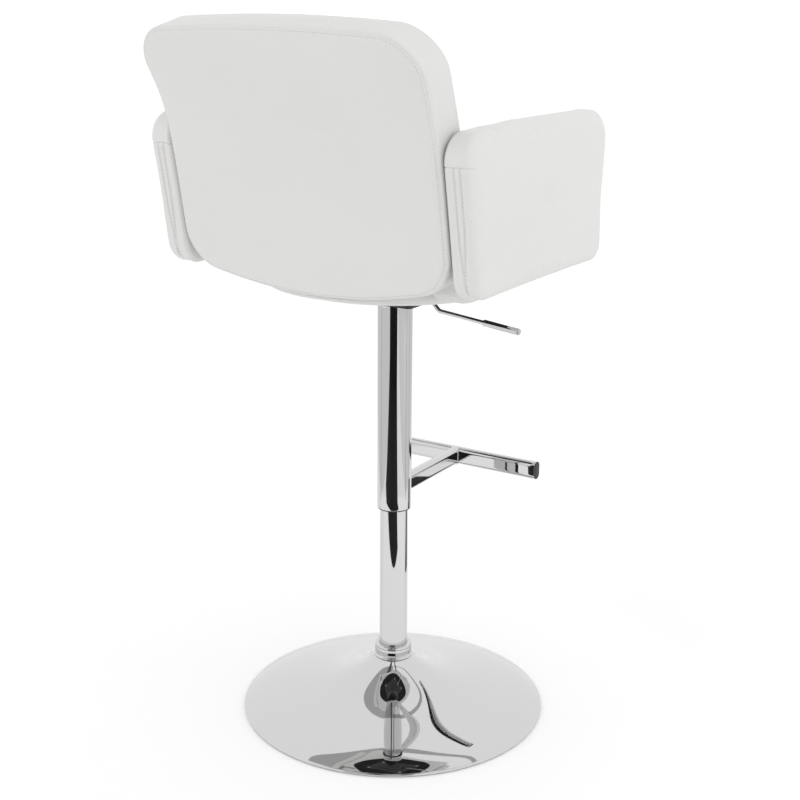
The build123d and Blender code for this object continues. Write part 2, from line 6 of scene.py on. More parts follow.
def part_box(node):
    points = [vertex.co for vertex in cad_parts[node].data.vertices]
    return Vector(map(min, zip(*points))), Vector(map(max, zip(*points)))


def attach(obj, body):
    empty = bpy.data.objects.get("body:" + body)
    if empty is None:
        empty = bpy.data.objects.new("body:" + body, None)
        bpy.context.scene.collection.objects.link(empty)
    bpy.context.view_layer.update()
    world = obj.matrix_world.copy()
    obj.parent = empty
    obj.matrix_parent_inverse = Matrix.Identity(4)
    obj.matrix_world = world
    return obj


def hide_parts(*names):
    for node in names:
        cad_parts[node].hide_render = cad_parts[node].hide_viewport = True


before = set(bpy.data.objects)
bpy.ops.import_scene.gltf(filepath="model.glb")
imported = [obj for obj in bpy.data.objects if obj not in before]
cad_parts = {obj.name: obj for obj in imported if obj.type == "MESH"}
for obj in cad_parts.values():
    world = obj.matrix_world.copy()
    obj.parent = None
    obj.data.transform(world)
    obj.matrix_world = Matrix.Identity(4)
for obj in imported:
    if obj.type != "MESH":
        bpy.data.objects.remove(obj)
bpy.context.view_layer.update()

# The room: a pale seamless floor under an even white light, as in a product studio.
# Dark flags stand round it for the plating to mirror. They show only in reflections.
room = bpy.context.scene
room.view_settings.view_transform = "Standard"
sky = bpy.data.worlds.new("studio_sky")
sky.use_nodes = True
sky_out = sky.node_tree.nodes["Background"]
sky_out.inputs["Color"].default_value = (1.0, 1.0, 1.0, 1.0)
sky_out.inputs["Strength"].default_value = 1.08
room.world = sky


def plain_material(name, colour, roughness, metallic=0.0):
    """A principled material with one colour, to be finished by the section that asks for it."""
    made = bpy.data.materials.new(name)
    made.use_nodes = True
    shader = made.node_tree.nodes["Principled BSDF"]
    shader.inputs["Base Color"].default_value = (*colour, 1.0)
    shader.inputs["Roughness"].default_value = roughness
    shader.inputs["Metallic"].default_value = metallic
    return made


def mesh_piece(name, points, faces, material, smooth=True):
    """Puts an (n, 3) array of points in metres and a list of faces into a new object at the origin."""
    mesh = bpy.data.meshes.new(name)
    mesh.from_pydata(np.asarray(points, float).tolist(), [], [list(map(int, f)) for f in faces])
    mesh.polygons.foreach_set("use_smooth", np.full(len(mesh.polygons), smooth))
    mesh.materials.append(material)
    mesh.update()
    piece = bpy.data.objects.new(name, mesh)
    room.collection.objects.link(piece)
    return piece


def flat_card(name, corners, material):
    """One sheet through its corners."""
    return mesh_piece(name, corners, [range(len(corners))], material, smooth=False)


def noise_node(tree, place, scale, detail=2.0):
    """A noise texture on the piece's own coordinates."""
    noise = tree.nodes.new("ShaderNodeTexNoise")
    noise.inputs["Scale"].default_value = scale
    noise.inputs["Detail"].default_value = detail
    tree.links.new(place.outputs["Object"], noise.inputs["Vector"])
    return noise


FLOOR_HALF = 9.0
FLOOR_DROP = -0.0005
floor_paint = plain_material("floor_paint", (0.97, 0.97, 0.968), 0.85)
floor_nodes = floor_paint.node_tree
floor_place = floor_nodes.nodes.new("ShaderNodeTexCoord")
floor_noise = noise_node(floor_nodes, floor_place, 60.0)
floor_bump = floor_nodes.nodes.new("ShaderNodeBump")
floor_bump.inputs["Strength"].default_value = 0.03
floor_nodes.links.new(floor_noise.outputs["Fac"], floor_bump.inputs["Height"])
floor_nodes.links.new(floor_bump.outputs["Normal"], floor_nodes.nodes["Principled BSDF"].inputs["Normal"])
floor_signs = ((-1, -1), (1, -1), (1, 1), (-1, 1))
floor_corners = [(x * FLOOR_HALF, y * FLOOR_HALF, FLOOR_DROP) for x, y in floor_signs]
studio_floor = flat_card("studio_floor", floor_corners, floor_paint)

# The lens looks at the stool from behind and above, over the sitter's right shoulder.
EYE = Vector((-1.0483, 1.6890, 1.0665))
EYE_AZIMUTH = np.radians(31.607)
EYE_PITCH = np.radians(16.53)
EYE_ROLL = np.radians(-0.397)
gaze = Vector((
    np.sin(EYE_AZIMUTH) * np.cos(EYE_PITCH),
    -np.cos(EYE_AZIMUTH) * np.cos(EYE_PITCH),
    -np.sin(EYE_PITCH),
))
across = gaze.cross(Vector((0, 0, 1))).normalized()
upward = across.cross(gaze)
right = across * np.cos(EYE_ROLL) - upward * np.sin(EYE_ROLL)
upright = across * np.sin(EYE_ROLL) + upward * np.cos(EYE_ROLL)
lens = bpy.data.cameras.new("studio_lens")
lens.sensor_width = 36.0
lens.lens = 65.01
lens.clip_end = 30.0
camera = bpy.data.objects.new("studio_camera", lens)
room.collection.objects.link(camera)
camera.matrix_world = Matrix((
    (right.x, upright.x, -gaze.x, EYE.x),
    (right.y, upright.y, -gaze.y, EYE.y),
    (right.z, upright.z, -gaze.z, EYE.z),
    (0.0, 0.0, 0.0, 1.0),
))
room.camera = camera


def only_mirrored(card):
    """The card is seen in reflections alone."""
    card.visible_camera = False
    card.visible_diffuse = False
    card.visible_shadow = False
    card.visible_transmission = False
    return card


def reflected_card(name, bearing, corners, material):
    """A card seen only in reflections. Its corners are given outwards, sideways and up from the column's
    foot, with outwards turned by bearing degrees from the side that the lens stands on."""
    turn = EYE_AZIMUTH + np.radians(180.0 + bearing)
    out = (np.sin(turn), -np.cos(turn), 0.0)
    side = (np.cos(turn), np.sin(turn), 0.0)
    places = np.array(corners) @ np.array([out, side, (0.0, 0.0, 1.0)])
    return only_mirrored(flat_card(name, places, material))


def strip_corners(near, far, up):
    """Corners of a level card between two edges, each given as its distance out and its two ends sideways."""
    return [(near[0], near[1], up), (near[0], near[2], up), (far[0], far[2], up), (far[0], far[1], up)]


flag_cloth = plain_material("flag_cloth", (0.004, 0.004, 0.004), 0.9)
flag_grey = plain_material("flag_grey", (0.10, 0.10, 0.10), 0.9)
flag_pale = plain_material("flag_pale", (0.76, 0.76, 0.76), 0.9)
flag_ceiling = plain_material("flag_ceiling", (0.45, 0.45, 0.45), 0.9)
lit_card = plain_material("lit_card", (0.8, 0.8, 0.8), 0.9)
lit_shader = lit_card.node_tree.nodes["Principled BSDF"]
lit_shader.inputs["Emission Color"].default_value = (1.0, 1.0, 1.0, 1.0)
lit_shader.inputs["Emission Strength"].default_value = 0.3

DARK_NEAR = (0.541, -0.84, 0.33)
DARK_FAR = (1.76, -1.15, 0.46)
DARK_TOP = 1.2
reflected_card("dark_floor", 0.0, strip_corners(DARK_NEAR, DARK_FAR, 0.002), flag_cloth)
dark_wall = [(DARK_FAR[0], side, up) for side, up in (
    (DARK_FAR[1], 0.0), (DARK_FAR[2], 0.0), (DARK_FAR[2], DARK_TOP), (DARK_FAR[1], DARK_TOP))]
reflected_card("dark_wall", 0.0, dark_wall, flag_cloth)
EDGE_START = 0.9
EDGE_END = 3.2
for name, bearing, half_width, shade in (("edge_left", -99.0, 0.022, flag_grey),
                                         ("edge_right", 82.0, 0.018, flag_grey),
                                         ("edge_side", 110.0, 0.012, flag_cloth)):
    edge_near = (EDGE_START, -half_width, half_width)
    edge_far = (EDGE_END, -half_width * 2.0, half_width * 2.0)
    reflected_card(name, bearing, strip_corners(edge_near, edge_far, 0.003), shade)
reflected_card("dark_side", 117.0, strip_corners((0.5, -0.08, 0.17), (1.015, -0.08, 0.17), 0.003), flag_cloth)

CEILING_HEIGHT = 2.2
CEILING_RADIUS = 1.3
CEILING_EDGE = 1.2
left_angle = np.radians(np.linspace(180.0, 360.0, 25))
right_angle = np.radians(np.linspace(0.0, 180.0, 25))
left_round = np.stack([CEILING_RADIUS * np.cos(left_angle), CEILING_RADIUS * np.sin(left_angle)], 1)
right_round = np.stack([np.cos(right_angle), np.sin(right_angle)], 1)
right_ring = np.concatenate([CEILING_RADIUS * right_round, CEILING_EDGE * right_round[::-1]])
for name, outline in (("ceiling_left", left_round), ("ceiling_right", right_ring)):
    ceiling = np.concatenate([outline, np.full((len(outline), 1), CEILING_HEIGHT)], 1)
    reflected_card(name, 0.0, ceiling, flag_ceiling)
for name, left_end, right_end in (("overhead_left", -0.55, -0.22), ("overhead_right", 0.22, 0.4)):
    overhead = strip_corners((0.35, left_end, right_end), (2.6, left_end, right_end), 2.1)
    reflected_card(name, 0.0, overhead, flag_grey)

NEAR_RADIUS = 0.93
lens_angle = np.radians(np.linspace(-95.0, 95.0, 33))
near_round = NEAR_RADIUS * np.stack([np.cos(lens_angle), np.sin(lens_angle)], 1)
near_floor = np.concatenate([near_round, np.full((len(near_round), 1), 0.0008)], 1)
reflected_card("near_floor", 0.0, near_floor, lit_card)
for name, bearing in (("far_floor", 90.0), ("far_floor_left", -90.0)):
    reflected_card(name, bearing, strip_corners((0.95, -4.0, 4.0), (4.0, -4.0, 4.0), 0.001), flag_pale)


def soft_lamp(name, place, aim, size, power):
    """A square soft light at place that looks at aim."""
    data = bpy.data.lights.new(name, "AREA")
    data.shape = "SQUARE"
    data.size = size
    data.energy = power
    lamp = bpy.data.objects.new(name, data)
    room.collection.objects.link(lamp)
    lamp.location = place
    lamp.rotation_euler = (Vector(aim) - Vector(place)).to_track_quat("-Z", "Y").to_euler()
    lamp.visible_glossy = False
    return lamp


soft_lamp("side_light", (-2.4, -0.7, 0.9), (0.0, 0.0, 0.7), 1.4, 3.0)

# Base: one round steel pressing, trumpet shaped, polished and chrome plated, with its rim rolled under.
# A cast weight and the column's flange are bolted up inside it. Its face is drawn by its slope in degrees
# at each radius.


def smooth_line(knots, count):
    """A natural cubic spline through the knots by chord length, sampled evenly along it."""
    knots = np.asarray(knots, float)
    gaps = np.linalg.norm(np.diff(knots, axis=0), axis=1)
    at = np.concatenate([[0.0], np.cumsum(gaps)])
    n = len(knots)
    system = np.eye(n)
    rows = np.arange(1, n - 1)
    system[rows, rows - 1] = gaps[:-1]
    system[rows, rows] = 2.0 * (gaps[:-1] + gaps[1:])
    system[rows, rows + 1] = gaps[1:]
    target = np.zeros_like(knots)
    slopes = np.diff(knots, axis=0) / gaps[:, None]
    target[1:-1] = 6.0 * np.diff(slopes, axis=0)
    bend = np.linalg.solve(system, target)
    t = np.linspace(0.0, at[-1], count)
    i = np.clip(np.searchsorted(at, t, side="right") - 1, 0, n - 2)
    g = gaps[i][:, None]
    a = ((at[i + 1] - t)[:, None]) / g
    b = 1.0 - a
    return a * knots[i] + b * knots[i + 1] + ((a**3 - a) * bend[i] + (b**3 - b) * bend[i + 1]) * g**2 / 6.0


def arc_line(centre, radius, start, end, count):
    """Points on a circle in a plane, from one angle in degrees to another."""
    angle = np.radians(np.linspace(start, end, count))
    return np.stack([centre[0] + radius * np.cos(angle), centre[1] + radius * np.sin(angle)], 1)


def grid_faces(rows, columns, round_rows=False, round_columns=True):
    """Quads of a grid of rows by columns, wrapped round in either direction."""
    i = np.arange(rows if round_rows else rows - 1)
    j = np.arange(columns if round_columns else columns - 1)
    i, j = np.meshgrid(i, j, indexing="ij")
    after_i = (i + 1) % rows
    after_j = (j + 1) % columns
    row = i * columns
    next_row = after_i * columns
    return np.stack([row + j, row + after_j, next_row + after_j, next_row + j], -1).reshape(-1, 4)


def turned(name, outline, material, steps=192, centre=(0.0, 0.0)):
    """A closed outline of radius and height in millimetres, carried once round an upright axis."""
    outline = np.asarray(outline, float) / 1000.0
    angle = np.linspace(0.0, 2.0 * np.pi, steps, endpoint=False)
    points = np.stack([
        centre[0] + outline[:, None, 0] * np.cos(angle),
        centre[1] + outline[:, None, 0] * np.sin(angle),
        np.broadcast_to(outline[:, None, 1], (len(outline), steps)),
    ], -1)
    area = np.sum(outline[:, 0] * np.roll(outline[:, 1], -1) - np.roll(outline[:, 0], -1) * outline[:, 1])
    faces = grid_faces(len(outline), steps, round_rows=True)
    if area > 0.0:
        faces = faces[:, ::-1]
    return mesh_piece(name, points.reshape(-1, 3), faces, material)


def chrome_material(name, tint, roughness, haze, ripple):
    """Bright chrome plate: a tinted mirror with a little uneven polish, faint haze and a slow ripple."""
    made = plain_material(name, tint, roughness, metallic=1.0)
    tree = made.node_tree
    shader = tree.nodes["Principled BSDF"]
    place = tree.nodes.new("ShaderNodeTexCoord")
    smear = noise_node(tree, place, 14.0, 5.0)
    spread = tree.nodes.new("ShaderNodeMapRange")
    spread.inputs["From Min"].default_value = 0.35
    spread.inputs["From Max"].default_value = 0.75
    spread.inputs["To Min"].default_value = roughness
    spread.inputs["To Max"].default_value = roughness + haze
    wave = noise_node(tree, place, 9.0, 1.0)
    bump = tree.nodes.new("ShaderNodeBump")
    bump.inputs["Strength"].default_value = ripple
    bump.inputs["Distance"].default_value = 0.002
    tree.links.new(smear.outputs["Fac"], spread.inputs["Value"])
    tree.links.new(spread.outputs["Result"], shader.inputs["Roughness"])
    tree.links.new(wave.outputs["Fac"], bump.inputs["Height"])
    tree.links.new(bump.outputs["Normal"], shader.inputs["Normal"])
    return made


chrome = chrome_material("polished_chrome", (0.606, 0.606, 0.61), 0.012, 0.03, 0.02)

DISH_INNER = 29.3
DISH_OUTER = 222.6
DISH_FOOT = 3.8
DISH_SLOPES = [
    (29.3, 57.0), (31.0, 52.4), (36.0, 43.0), (46.0, 35.2), (56.0, 31.0), (66.0, 27.2), (76.0, 23.6),
    (89.0, 19.6), (110.0, 15.3), (130.0, 12.9), (150.0, 12.0), (165.0, 12.2), (180.0, 13.2), (195.0, 14.9),
    (205.0, 17.4), (212.0, 20.5), (218.0, 23.5), (222.6, 25.0),
]
slope_line = smooth_line(DISH_SLOPES, 1200)
dish_radius = np.linspace(DISH_INNER, DISH_OUTER, 320)
dish_fall = np.tan(np.radians(np.interp(dish_radius, slope_line[:, 0], slope_line[:, 1])))
dish_steps = (dish_fall[1:] + dish_fall[:-1]) / 2.0 * np.diff(dish_radius)
dish_drop = np.concatenate([[0.0], np.cumsum(dish_steps)])
dish_face = np.stack([dish_radius, DISH_FOOT + dish_drop[-1] - dish_drop], 1)
dish_rim = arc_line((223.0, 2.0), 1.9, 66.0, -95.0, 14)
dish_under = dish_face[::-6] - np.array([0.55, 1.5])
dish_under = np.concatenate([[(222.2, 0.4), (219.5, 1.2)], dish_under[dish_under[:, 0] < 216.0]])
dish_top = dish_face[0, 1]
dish_mouth = [(21.2, dish_top - 1.6), (21.2, dish_top - 0.5), (21.8, dish_top)]
dish_outline = np.concatenate([dish_face, dish_rim, dish_under, dish_mouth])
base_pressing = turned("base_pressing", dish_outline, chrome, 288)
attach(base_pressing, "base")
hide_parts("base_dish")

# Floor ring: a soft black rubber profile pushed up inside the rim, so the plating never touches the floor.
# Only a thin dark line of it shows.


def moulded_material(name, colour, roughness, grain, depth):
    """Moulded rubber or plastic: a fine pebbled skin whose shine varies, with paler rubbed patches."""
    made = plain_material(name, colour, roughness)
    tree = made.node_tree
    shader = tree.nodes["Principled BSDF"]
    place = tree.nodes.new("ShaderNodeTexCoord")
    pebble = noise_node(tree, place, grain, 3.0)
    rubbed = noise_node(tree, place, 22.0, 4.0)
    tone = tree.nodes.new("ShaderNodeMix")
    tone.data_type = "RGBA"
    tone.inputs["A"].default_value = (*colour, 1.0)
    tone.inputs["B"].default_value = (*[c * 1.5 + 0.006 for c in colour], 1.0)
    shine = tree.nodes.new("ShaderNodeMapRange")
    shine.inputs["To Min"].default_value = roughness - 0.08
    shine.inputs["To Max"].default_value = roughness + 0.12
    bump = tree.nodes.new("ShaderNodeBump")
    bump.inputs["Strength"].default_value = depth
    bump.inputs["Distance"].default_value = 0.0004
    tree.links.new(rubbed.outputs["Fac"], tone.inputs["Factor"])
    tree.links.new(tone.outputs["Result"], shader.inputs["Base Color"])
    tree.links.new(rubbed.outputs["Fac"], shine.inputs["Value"])
    tree.links.new(shine.outputs["Result"], shader.inputs["Roughness"])
    tree.links.new(pebble.outputs["Fac"], bump.inputs["Height"])
    tree.links.new(bump.outputs["Normal"], shader.inputs["Normal"])
    return made


def finish_nodes(names, material):
    """Gives CAD nodes that keep their own shape their real finish."""
    for name in names:
        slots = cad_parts[name].data.materials
        slots.clear()
        slots.append(material)


rubber = moulded_material("floor_rubber", (0.022, 0.022, 0.023), 0.62, 900.0, 0.5)
finish_nodes(["floor_ring"], rubber)

# Weight, flange and bolts under the base: a painted iron casting, a plated steel flange and four hex bolts.
# They show only when the stool is tipped over.
casting = moulded_material("cast_weight", (0.05, 0.05, 0.052), 0.7, 420.0, 1.0)
finish_nodes(["base_weight"], casting)
bare_steel = chrome_material("bare_steel", (0.52, 0.52, 0.53), 0.24, 0.16, 0.1)
finish_nodes(["foot_flange", "base_bolts", "bearing_plate", "lower_race", "upper_race", "bearing_balls",
              "piston_rod", "rod_clip", "piston_head", "valve_button", "lever_pivot_pin", "plate_screws",
              "back_bolts", "arm_bolts", "cylinder_gland", "valve_body"], bare_steel)

# Collar: a turned and plated ring that hides the joint between the column and the base's neck.
# A bead runs round its foot and its upper edge is rounded over.
COLLAR_OUTLINE = np.concatenate([
    [(20.75, 97.6), (20.75, 78.05)],
    [(27.2, 78.05)],
    arc_line((28.0, 79.4), 1.35, -80.0, 80.0, 9),
    [(27.4, 81.2), (27.2, 81.8)],
    smooth_line([(27.2, 82.2), (27.6, 86.0), (27.7, 90.0), (27.5, 93.6)], 10),
    arc_line((24.7, 94.9), 2.95, -8.0, 92.0, 14),
    [(21.4, 98.2), (20.9, 98.0)],
])
collar_ring = turned("collar_ring", COLLAR_OUTLINE, chrome, 144)
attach(collar_ring, "base")
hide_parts("neck_collar")

# Lower column: drawn steel tube, polished and plated, welded to the flange inside the base.
# A black nylon bush in its mouth guides the gas cylinder.


def tube_outline(outer, inner, bottom, top, edge):
    """Outline of a tube's wall with its four edges rounded."""
    return np.concatenate([
        arc_line((outer - edge, bottom + edge), edge, -90.0, 0.0, 6),
        np.stack([np.full(24, outer), np.linspace(bottom + edge, top - edge, 26)[1:-1]], 1),
        arc_line((outer - edge, top - edge), edge, 0.0, 90.0, 6),
        arc_line((inner + edge, top - edge), edge, 90.0, 180.0, 6),
        arc_line((inner + edge, bottom + edge), edge, 180.0, 270.0, 6),
    ])


lower_column = turned("lower_column", tube_outline(20.7, 18.7, 4.0, 400.0, 0.5), chrome, 160)
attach(lower_column, "base")
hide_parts("stand_tube")
nylon = moulded_material("black_nylon", (0.018, 0.018, 0.019), 0.42, 700.0, 0.25)
finish_nodes(["guide_bush", "tube_top_plug", "ball_cage"], nylon)

# Upper column: a wider plated tube that slides down over the lower one with the seat.
# Its cut end is dressed round, and a black guide ring stands just proud inside it.
upper_column = turned("upper_column", tube_outline(25.0, 23.5, 315.0, 622.0, 0.7), chrome, 176)
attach(upper_column, "seat")
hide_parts("upper_tube")
guide_low, guide_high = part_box("tube_guide_ring")
GUIDE_FOOT = guide_low[2] * 1000.0
GUIDE_TOP = guide_high[2] * 1000.0
guide_ring = turned("guide_ring", np.concatenate([
    arc_line((23.9, GUIDE_FOOT + 0.5), 0.5, -90.0, 0.0, 5),
    [(24.4, 315.0), (23.45, 315.0), (23.45, GUIDE_TOP)],
    [(20.8, GUIDE_TOP)],
    arc_line((21.3, GUIDE_FOOT + 0.5), 0.5, 180.0, 270.0, 5),
]), nylon, 144)
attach(guide_ring, "seat")
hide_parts("tube_guide_ring")
cylinder_paint = moulded_material("black_enamel", (0.02, 0.02, 0.021), 0.3, 500.0, 0.15)
finish_nodes(["gas_cylinder"], cylinder_paint)

# Footrest: flat-oval steel tube, a stem welded square to the column and a crossbar welded to the stem.
# Both are plated as one, with a smooth weld round each joint.
BAR_HALF_HIGH = 13.5
BAR_HALF_THICK = 7.5
BAR_ROUND = 6.5
BAR_MIDDLE = 341.5
STEM_START = 23.0
STEM_END = 178.6
CROSS_MIDDLE = 185.0
CROSS_HALF_LENGTH = 139.0


def oval_section(half_thick, half_high, corner, count):
    """A rectangle with rounded corners, sampled evenly by length and centred on nothing."""
    flat_t = half_thick - corner
    flat_h = half_high - corner
    lengths = np.array([2 * flat_h, corner * np.pi / 2, 2 * flat_t, corner * np.pi / 2] * 2)
    ends = np.concatenate([[0.0], np.cumsum(lengths)])
    s = np.linspace(0.0, ends[-1], count, endpoint=False)
    k = np.searchsorted(ends, s, side="right") - 1
    into = s - ends[k]
    corner_centres = np.array([(flat_t, flat_h), (-flat_t, flat_h), (-flat_t, -flat_h), (flat_t, -flat_h)])
    starts = np.array([
        (half_thick, -flat_h), (flat_t, half_high), (-half_thick, flat_h), (-flat_t, -half_high),
    ])
    ways = np.array([(0.0, 1.0), (-1.0, 0.0), (0.0, -1.0), (1.0, 0.0)])
    straight = starts[k // 2] + ways[k // 2] * into[:, None]
    angle = into / corner + (k // 2) * np.pi / 2
    curved = corner_centres[k // 2] + corner * np.stack([np.cos(angle), np.sin(angle)], 1)
    return np.where((k % 2 == 0)[:, None], straight, curved)


def capped(rings):
    """Faces of a stack of rings, closed at both ends by a face over the first and the last."""
    count = rings.shape[1]
    faces = [list(f) for f in grid_faces(len(rings), count)]
    last = (len(rings) - 1) * count
    return faces + [list(range(count))[::-1], list(range(last, last + count))]


section = oval_section(BAR_HALF_THICK, BAR_HALF_HIGH, BAR_ROUND, 72)
stem_along = np.concatenate([[-STEM_START], np.linspace(-STEM_START - 2.5, -STEM_END + 2.5, 30), [-STEM_END]])
column_weld = 1.6 * np.exp(-((stem_along + 25.0) / 1.6) ** 2)
crossbar_weld = 1.8 * np.exp(-((stem_along + STEM_END - 0.6) / 1.6) ** 2)
weld_swell = column_weld + crossbar_weld
stem_rings = np.stack([
    section[None, :, 0] * (1.0 + weld_swell[:, None] / 9.0),
    np.broadcast_to(stem_along[:, None], (len(stem_along), len(section))),
    BAR_MIDDLE + section[None, :, 1] * (1.0 + weld_swell[:, None] / 16.0),
], -1) / 1000.0
footrest_stem = mesh_piece("footrest_stem_tube", stem_rings.reshape(-1, 3), capped(stem_rings), chrome)
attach(footrest_stem, "seat")
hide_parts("footrest_stem")

bar_wall = oval_section(BAR_HALF_THICK - 1.6, BAR_HALF_HIGH - 1.6, BAR_ROUND - 1.4, 72)
bar_mouth = oval_section(BAR_HALF_THICK - 0.5, BAR_HALF_HIGH - 0.5, BAR_ROUND - 0.3, 72)
bar_x = np.concatenate([
    [-CROSS_HALF_LENGTH],
    np.linspace(-CROSS_HALF_LENGTH + 0.6, CROSS_HALF_LENGTH - 0.6, 24),
    [CROSS_HALF_LENGTH, CROSS_HALF_LENGTH - 0.2, -CROSS_HALF_LENGTH + 0.2],
])
bar_shapes = np.stack([bar_mouth] + [section] * 24 + [bar_mouth, bar_wall, bar_wall])
bar_rings = np.stack([
    np.broadcast_to(bar_x[:, None], bar_shapes.shape[:2]),
    -CROSS_MIDDLE + bar_shapes[..., 0],
    BAR_MIDDLE + bar_shapes[..., 1],
], -1) / 1000.0
footrest_bar = mesh_piece("footrest_crossbar_tube", bar_rings.reshape(-1, 3),
                          grid_faces(len(bar_rings), 72, round_rows=True), chrome)
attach(footrest_bar, "seat")
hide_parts("footrest_crossbar")

plug_x = np.array([139.05, 139.15, 139.9, 140.35, 140.6, 140.6, 140.6])
plug_size = np.array([0.97, 1.0, 1.0, 0.96, 0.86, 0.5, 0.2])
plug_rings = np.stack([
    np.broadcast_to(plug_x[:, None], (len(plug_x), len(section))),
    -CROSS_MIDDLE + section[:, 0] * plug_size[:, None],
    BAR_MIDDLE + section[:, 1] * plug_size[:, None],
], -1) / 1000.0
plug_faces = capped(plug_rings)
plug_left = mesh_piece("footrest_plug_left", plug_rings.reshape(-1, 3), plug_faces, nylon)
plug_mirror = plug_rings.reshape(-1, 3) * np.array([-1.0, 1.0, 1.0])
plug_right = mesh_piece("footrest_plug_right", plug_mirror, [f[::-1] for f in plug_faces], nylon)
for plug in (plug_right, plug_left):
    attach(plug, "seat")
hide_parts("footrest_end_caps")

# Release lever: a bent chrome rod on a pivot in the housing, with a thicker plated sleeve for the fingers.
# Lifting it pushes the valve button down.
LEVER_CORNERS = [(3.0, 645.0), (-43.5, 645.0), (-72.0, 616.5), (-197.0, 603.0)]


def bent_line(corners, radius, step):
    """Straight runs joined by arcs of one radius, sampled every step or so."""
    corners = np.asarray(corners, float)
    before, corner, after = corners[:-2], corners[1:-1], corners[2:]
    to_back = (before - corner) / np.linalg.norm(before - corner, axis=1)[:, None]
    to_next = (after - corner) / np.linalg.norm(after - corner, axis=1)[:, None]
    half = np.arccos(np.clip((to_back * to_next).sum(1), -1.0, 1.0)) / 2.0
    inside = (to_back + to_next) / np.linalg.norm(to_back + to_next, axis=1)[:, None]
    middle = corner + inside * (radius / np.sin(half))[:, None]
    touch = (radius / np.tan(half))[:, None]
    first, last = corner + to_back * touch - middle, corner + to_next * touch - middle
    share = np.linspace(0.0, 1.0, 9)[None, :, None]
    swing = (1.0 - share) * first[:, None] + share * last[:, None]
    swing *= radius / np.linalg.norm(swing, axis=2, keepdims=True)
    line = np.concatenate([corners[:1], (middle[:, None] + swing).reshape(-1, 2), corners[-1:]])
    run = np.concatenate([[0.0], np.cumsum(np.linalg.norm(np.diff(line, axis=0), axis=1))])
    at = np.unique(np.concatenate([run, np.arange(0.0, run[-1], step)]))
    at = at[np.concatenate([[True], np.diff(at) > 0.3])]
    return np.stack([np.interp(at, run, line[:, 0]), np.interp(at, run, line[:, 1])], 1)


def round_bar(name, route, radii, material, sides=24):
    """A round section carried along a route in the plane of X and Z, with a radius at each point."""
    route = np.asarray(route, float)
    along = np.gradient(route, axis=0)
    along /= np.linalg.norm(along, axis=1)[:, None]
    square = np.stack([-along[:, 1], along[:, 0]], 1)
    angle = np.linspace(0.0, 2.0 * np.pi, sides, endpoint=False)
    ring_out = np.cos(angle)[None, :, None] * square[:, None, :]
    points = np.stack([
        route[:, None, 0] + radii[:, None] * ring_out[..., 0],
        np.broadcast_to(radii[:, None] * np.sin(angle), (len(route), sides)),
        route[:, None, 1] + radii[:, None] * ring_out[..., 1],
    ], -1) / 1000.0
    return mesh_piece(name, points.reshape(-1, 3), capped(points), material)


lever_line = bent_line(LEVER_CORNERS, 7.0, 4.0)
lever_radii = np.full(len(lever_line), 3.0)
lever_radii[[0, -1]] = 2.4
lever_rod = round_bar("lever_rod", lever_line, lever_radii, chrome, 28)
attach(lever_rod, "lever")
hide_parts("release_lever")

GRIP_START = np.array([-141.2, 609.1])
GRIP_END = np.array([-197.0, 603.0])
grip_middle = np.linspace(0.06, 0.93, 40)
grip_steps = np.concatenate([[0.0, 0.004, 0.012, 0.03], grip_middle, [0.965, 0.985, 0.996, 1.0]])
grip_radii = 4.6 * np.concatenate([[0.7, 0.86, 0.95, 1.0], np.ones(40), [1.0, 0.96, 0.85, 0.66]])
grip_line = GRIP_START + grip_steps[:, None] * (GRIP_END - GRIP_START)
lever_sleeve = round_bar("lever_sleeve", grip_line, grip_radii, chrome, 32)
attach(lever_sleeve, "lever")
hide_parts("lever_grip")

# Mechanism: a pressed and enamelled steel housing on a mounting plate, screwed up under the seat.
# It holds the top of the column and the lever's pivot.
enamel = moulded_material("housing_enamel", (0.024, 0.024, 0.026), 0.36, 380.0, 0.3)
finish_nodes(["mechanism_housing", "seat_plate"], enamel)
plywood = moulded_material("plywood", (0.36, 0.25, 0.14), 0.7, 160.0, 0.5)
finish_nodes(["seat_frame", "back_board", "arm_board_left", "arm_board_right"], plywood)

# Back pad: foam on a plywood board in white leather cloth, boxed, with a side band sewn between two panels.
# It leans back, its head curls over backwards, and its foot is bowed and passes behind the seat.


def rounded_line(low, high, radii):
    """A rectangle with a radius at each corner, anticlockwise from the middle of its lower side."""
    inner = [(high[0], low[1], -1, 1, -90), (high[0], high[1], -1, -1, 0),
             (low[0], high[1], 1, -1, 90), (low[0], low[1], 1, 1, 180)]
    middle = np.array([[(low[0] + high[0]) / 2.0, low[1]]])
    arcs = [arc_line((x + sx * r, y + sy * r), r, a, a + 90, 40)
            for (x, y, sx, sy, a), r in zip(inner, radii)]
    return np.concatenate([middle] + arcs + [middle])


def spaced(line, step, spots=(), fine=0.5, reach=6.0):
    """Samples a closed line every step, and closer together within reach of each spot along it."""
    lengths = np.concatenate([[0.0], np.cumsum(np.linalg.norm(np.diff(line, axis=0), axis=1))])
    marks = [np.linspace(0.0, lengths[-1], int(lengths[-1] / step), endpoint=False)]
    marks += [np.arange(spot - reach, spot + reach, fine) for spot in spots]
    at = np.unique(np.round(np.concatenate(marks) % lengths[-1], 2))
    at = at[np.concatenate([[True], np.diff(at) > 0.2])]
    return at, np.stack([np.interp(at, lengths, line[:, 0]), np.interp(at, lengths, line[:, 1])], 1)


def inward(line):
    """Unit normals of a closed anticlockwise line, pointing into it."""
    along = np.roll(line, -1, axis=0) - np.roll(line, 1, axis=0)
    along /= np.linalg.norm(along, axis=1)[:, None]
    return np.stack([-along[:, 1], along[:, 0]], 1)


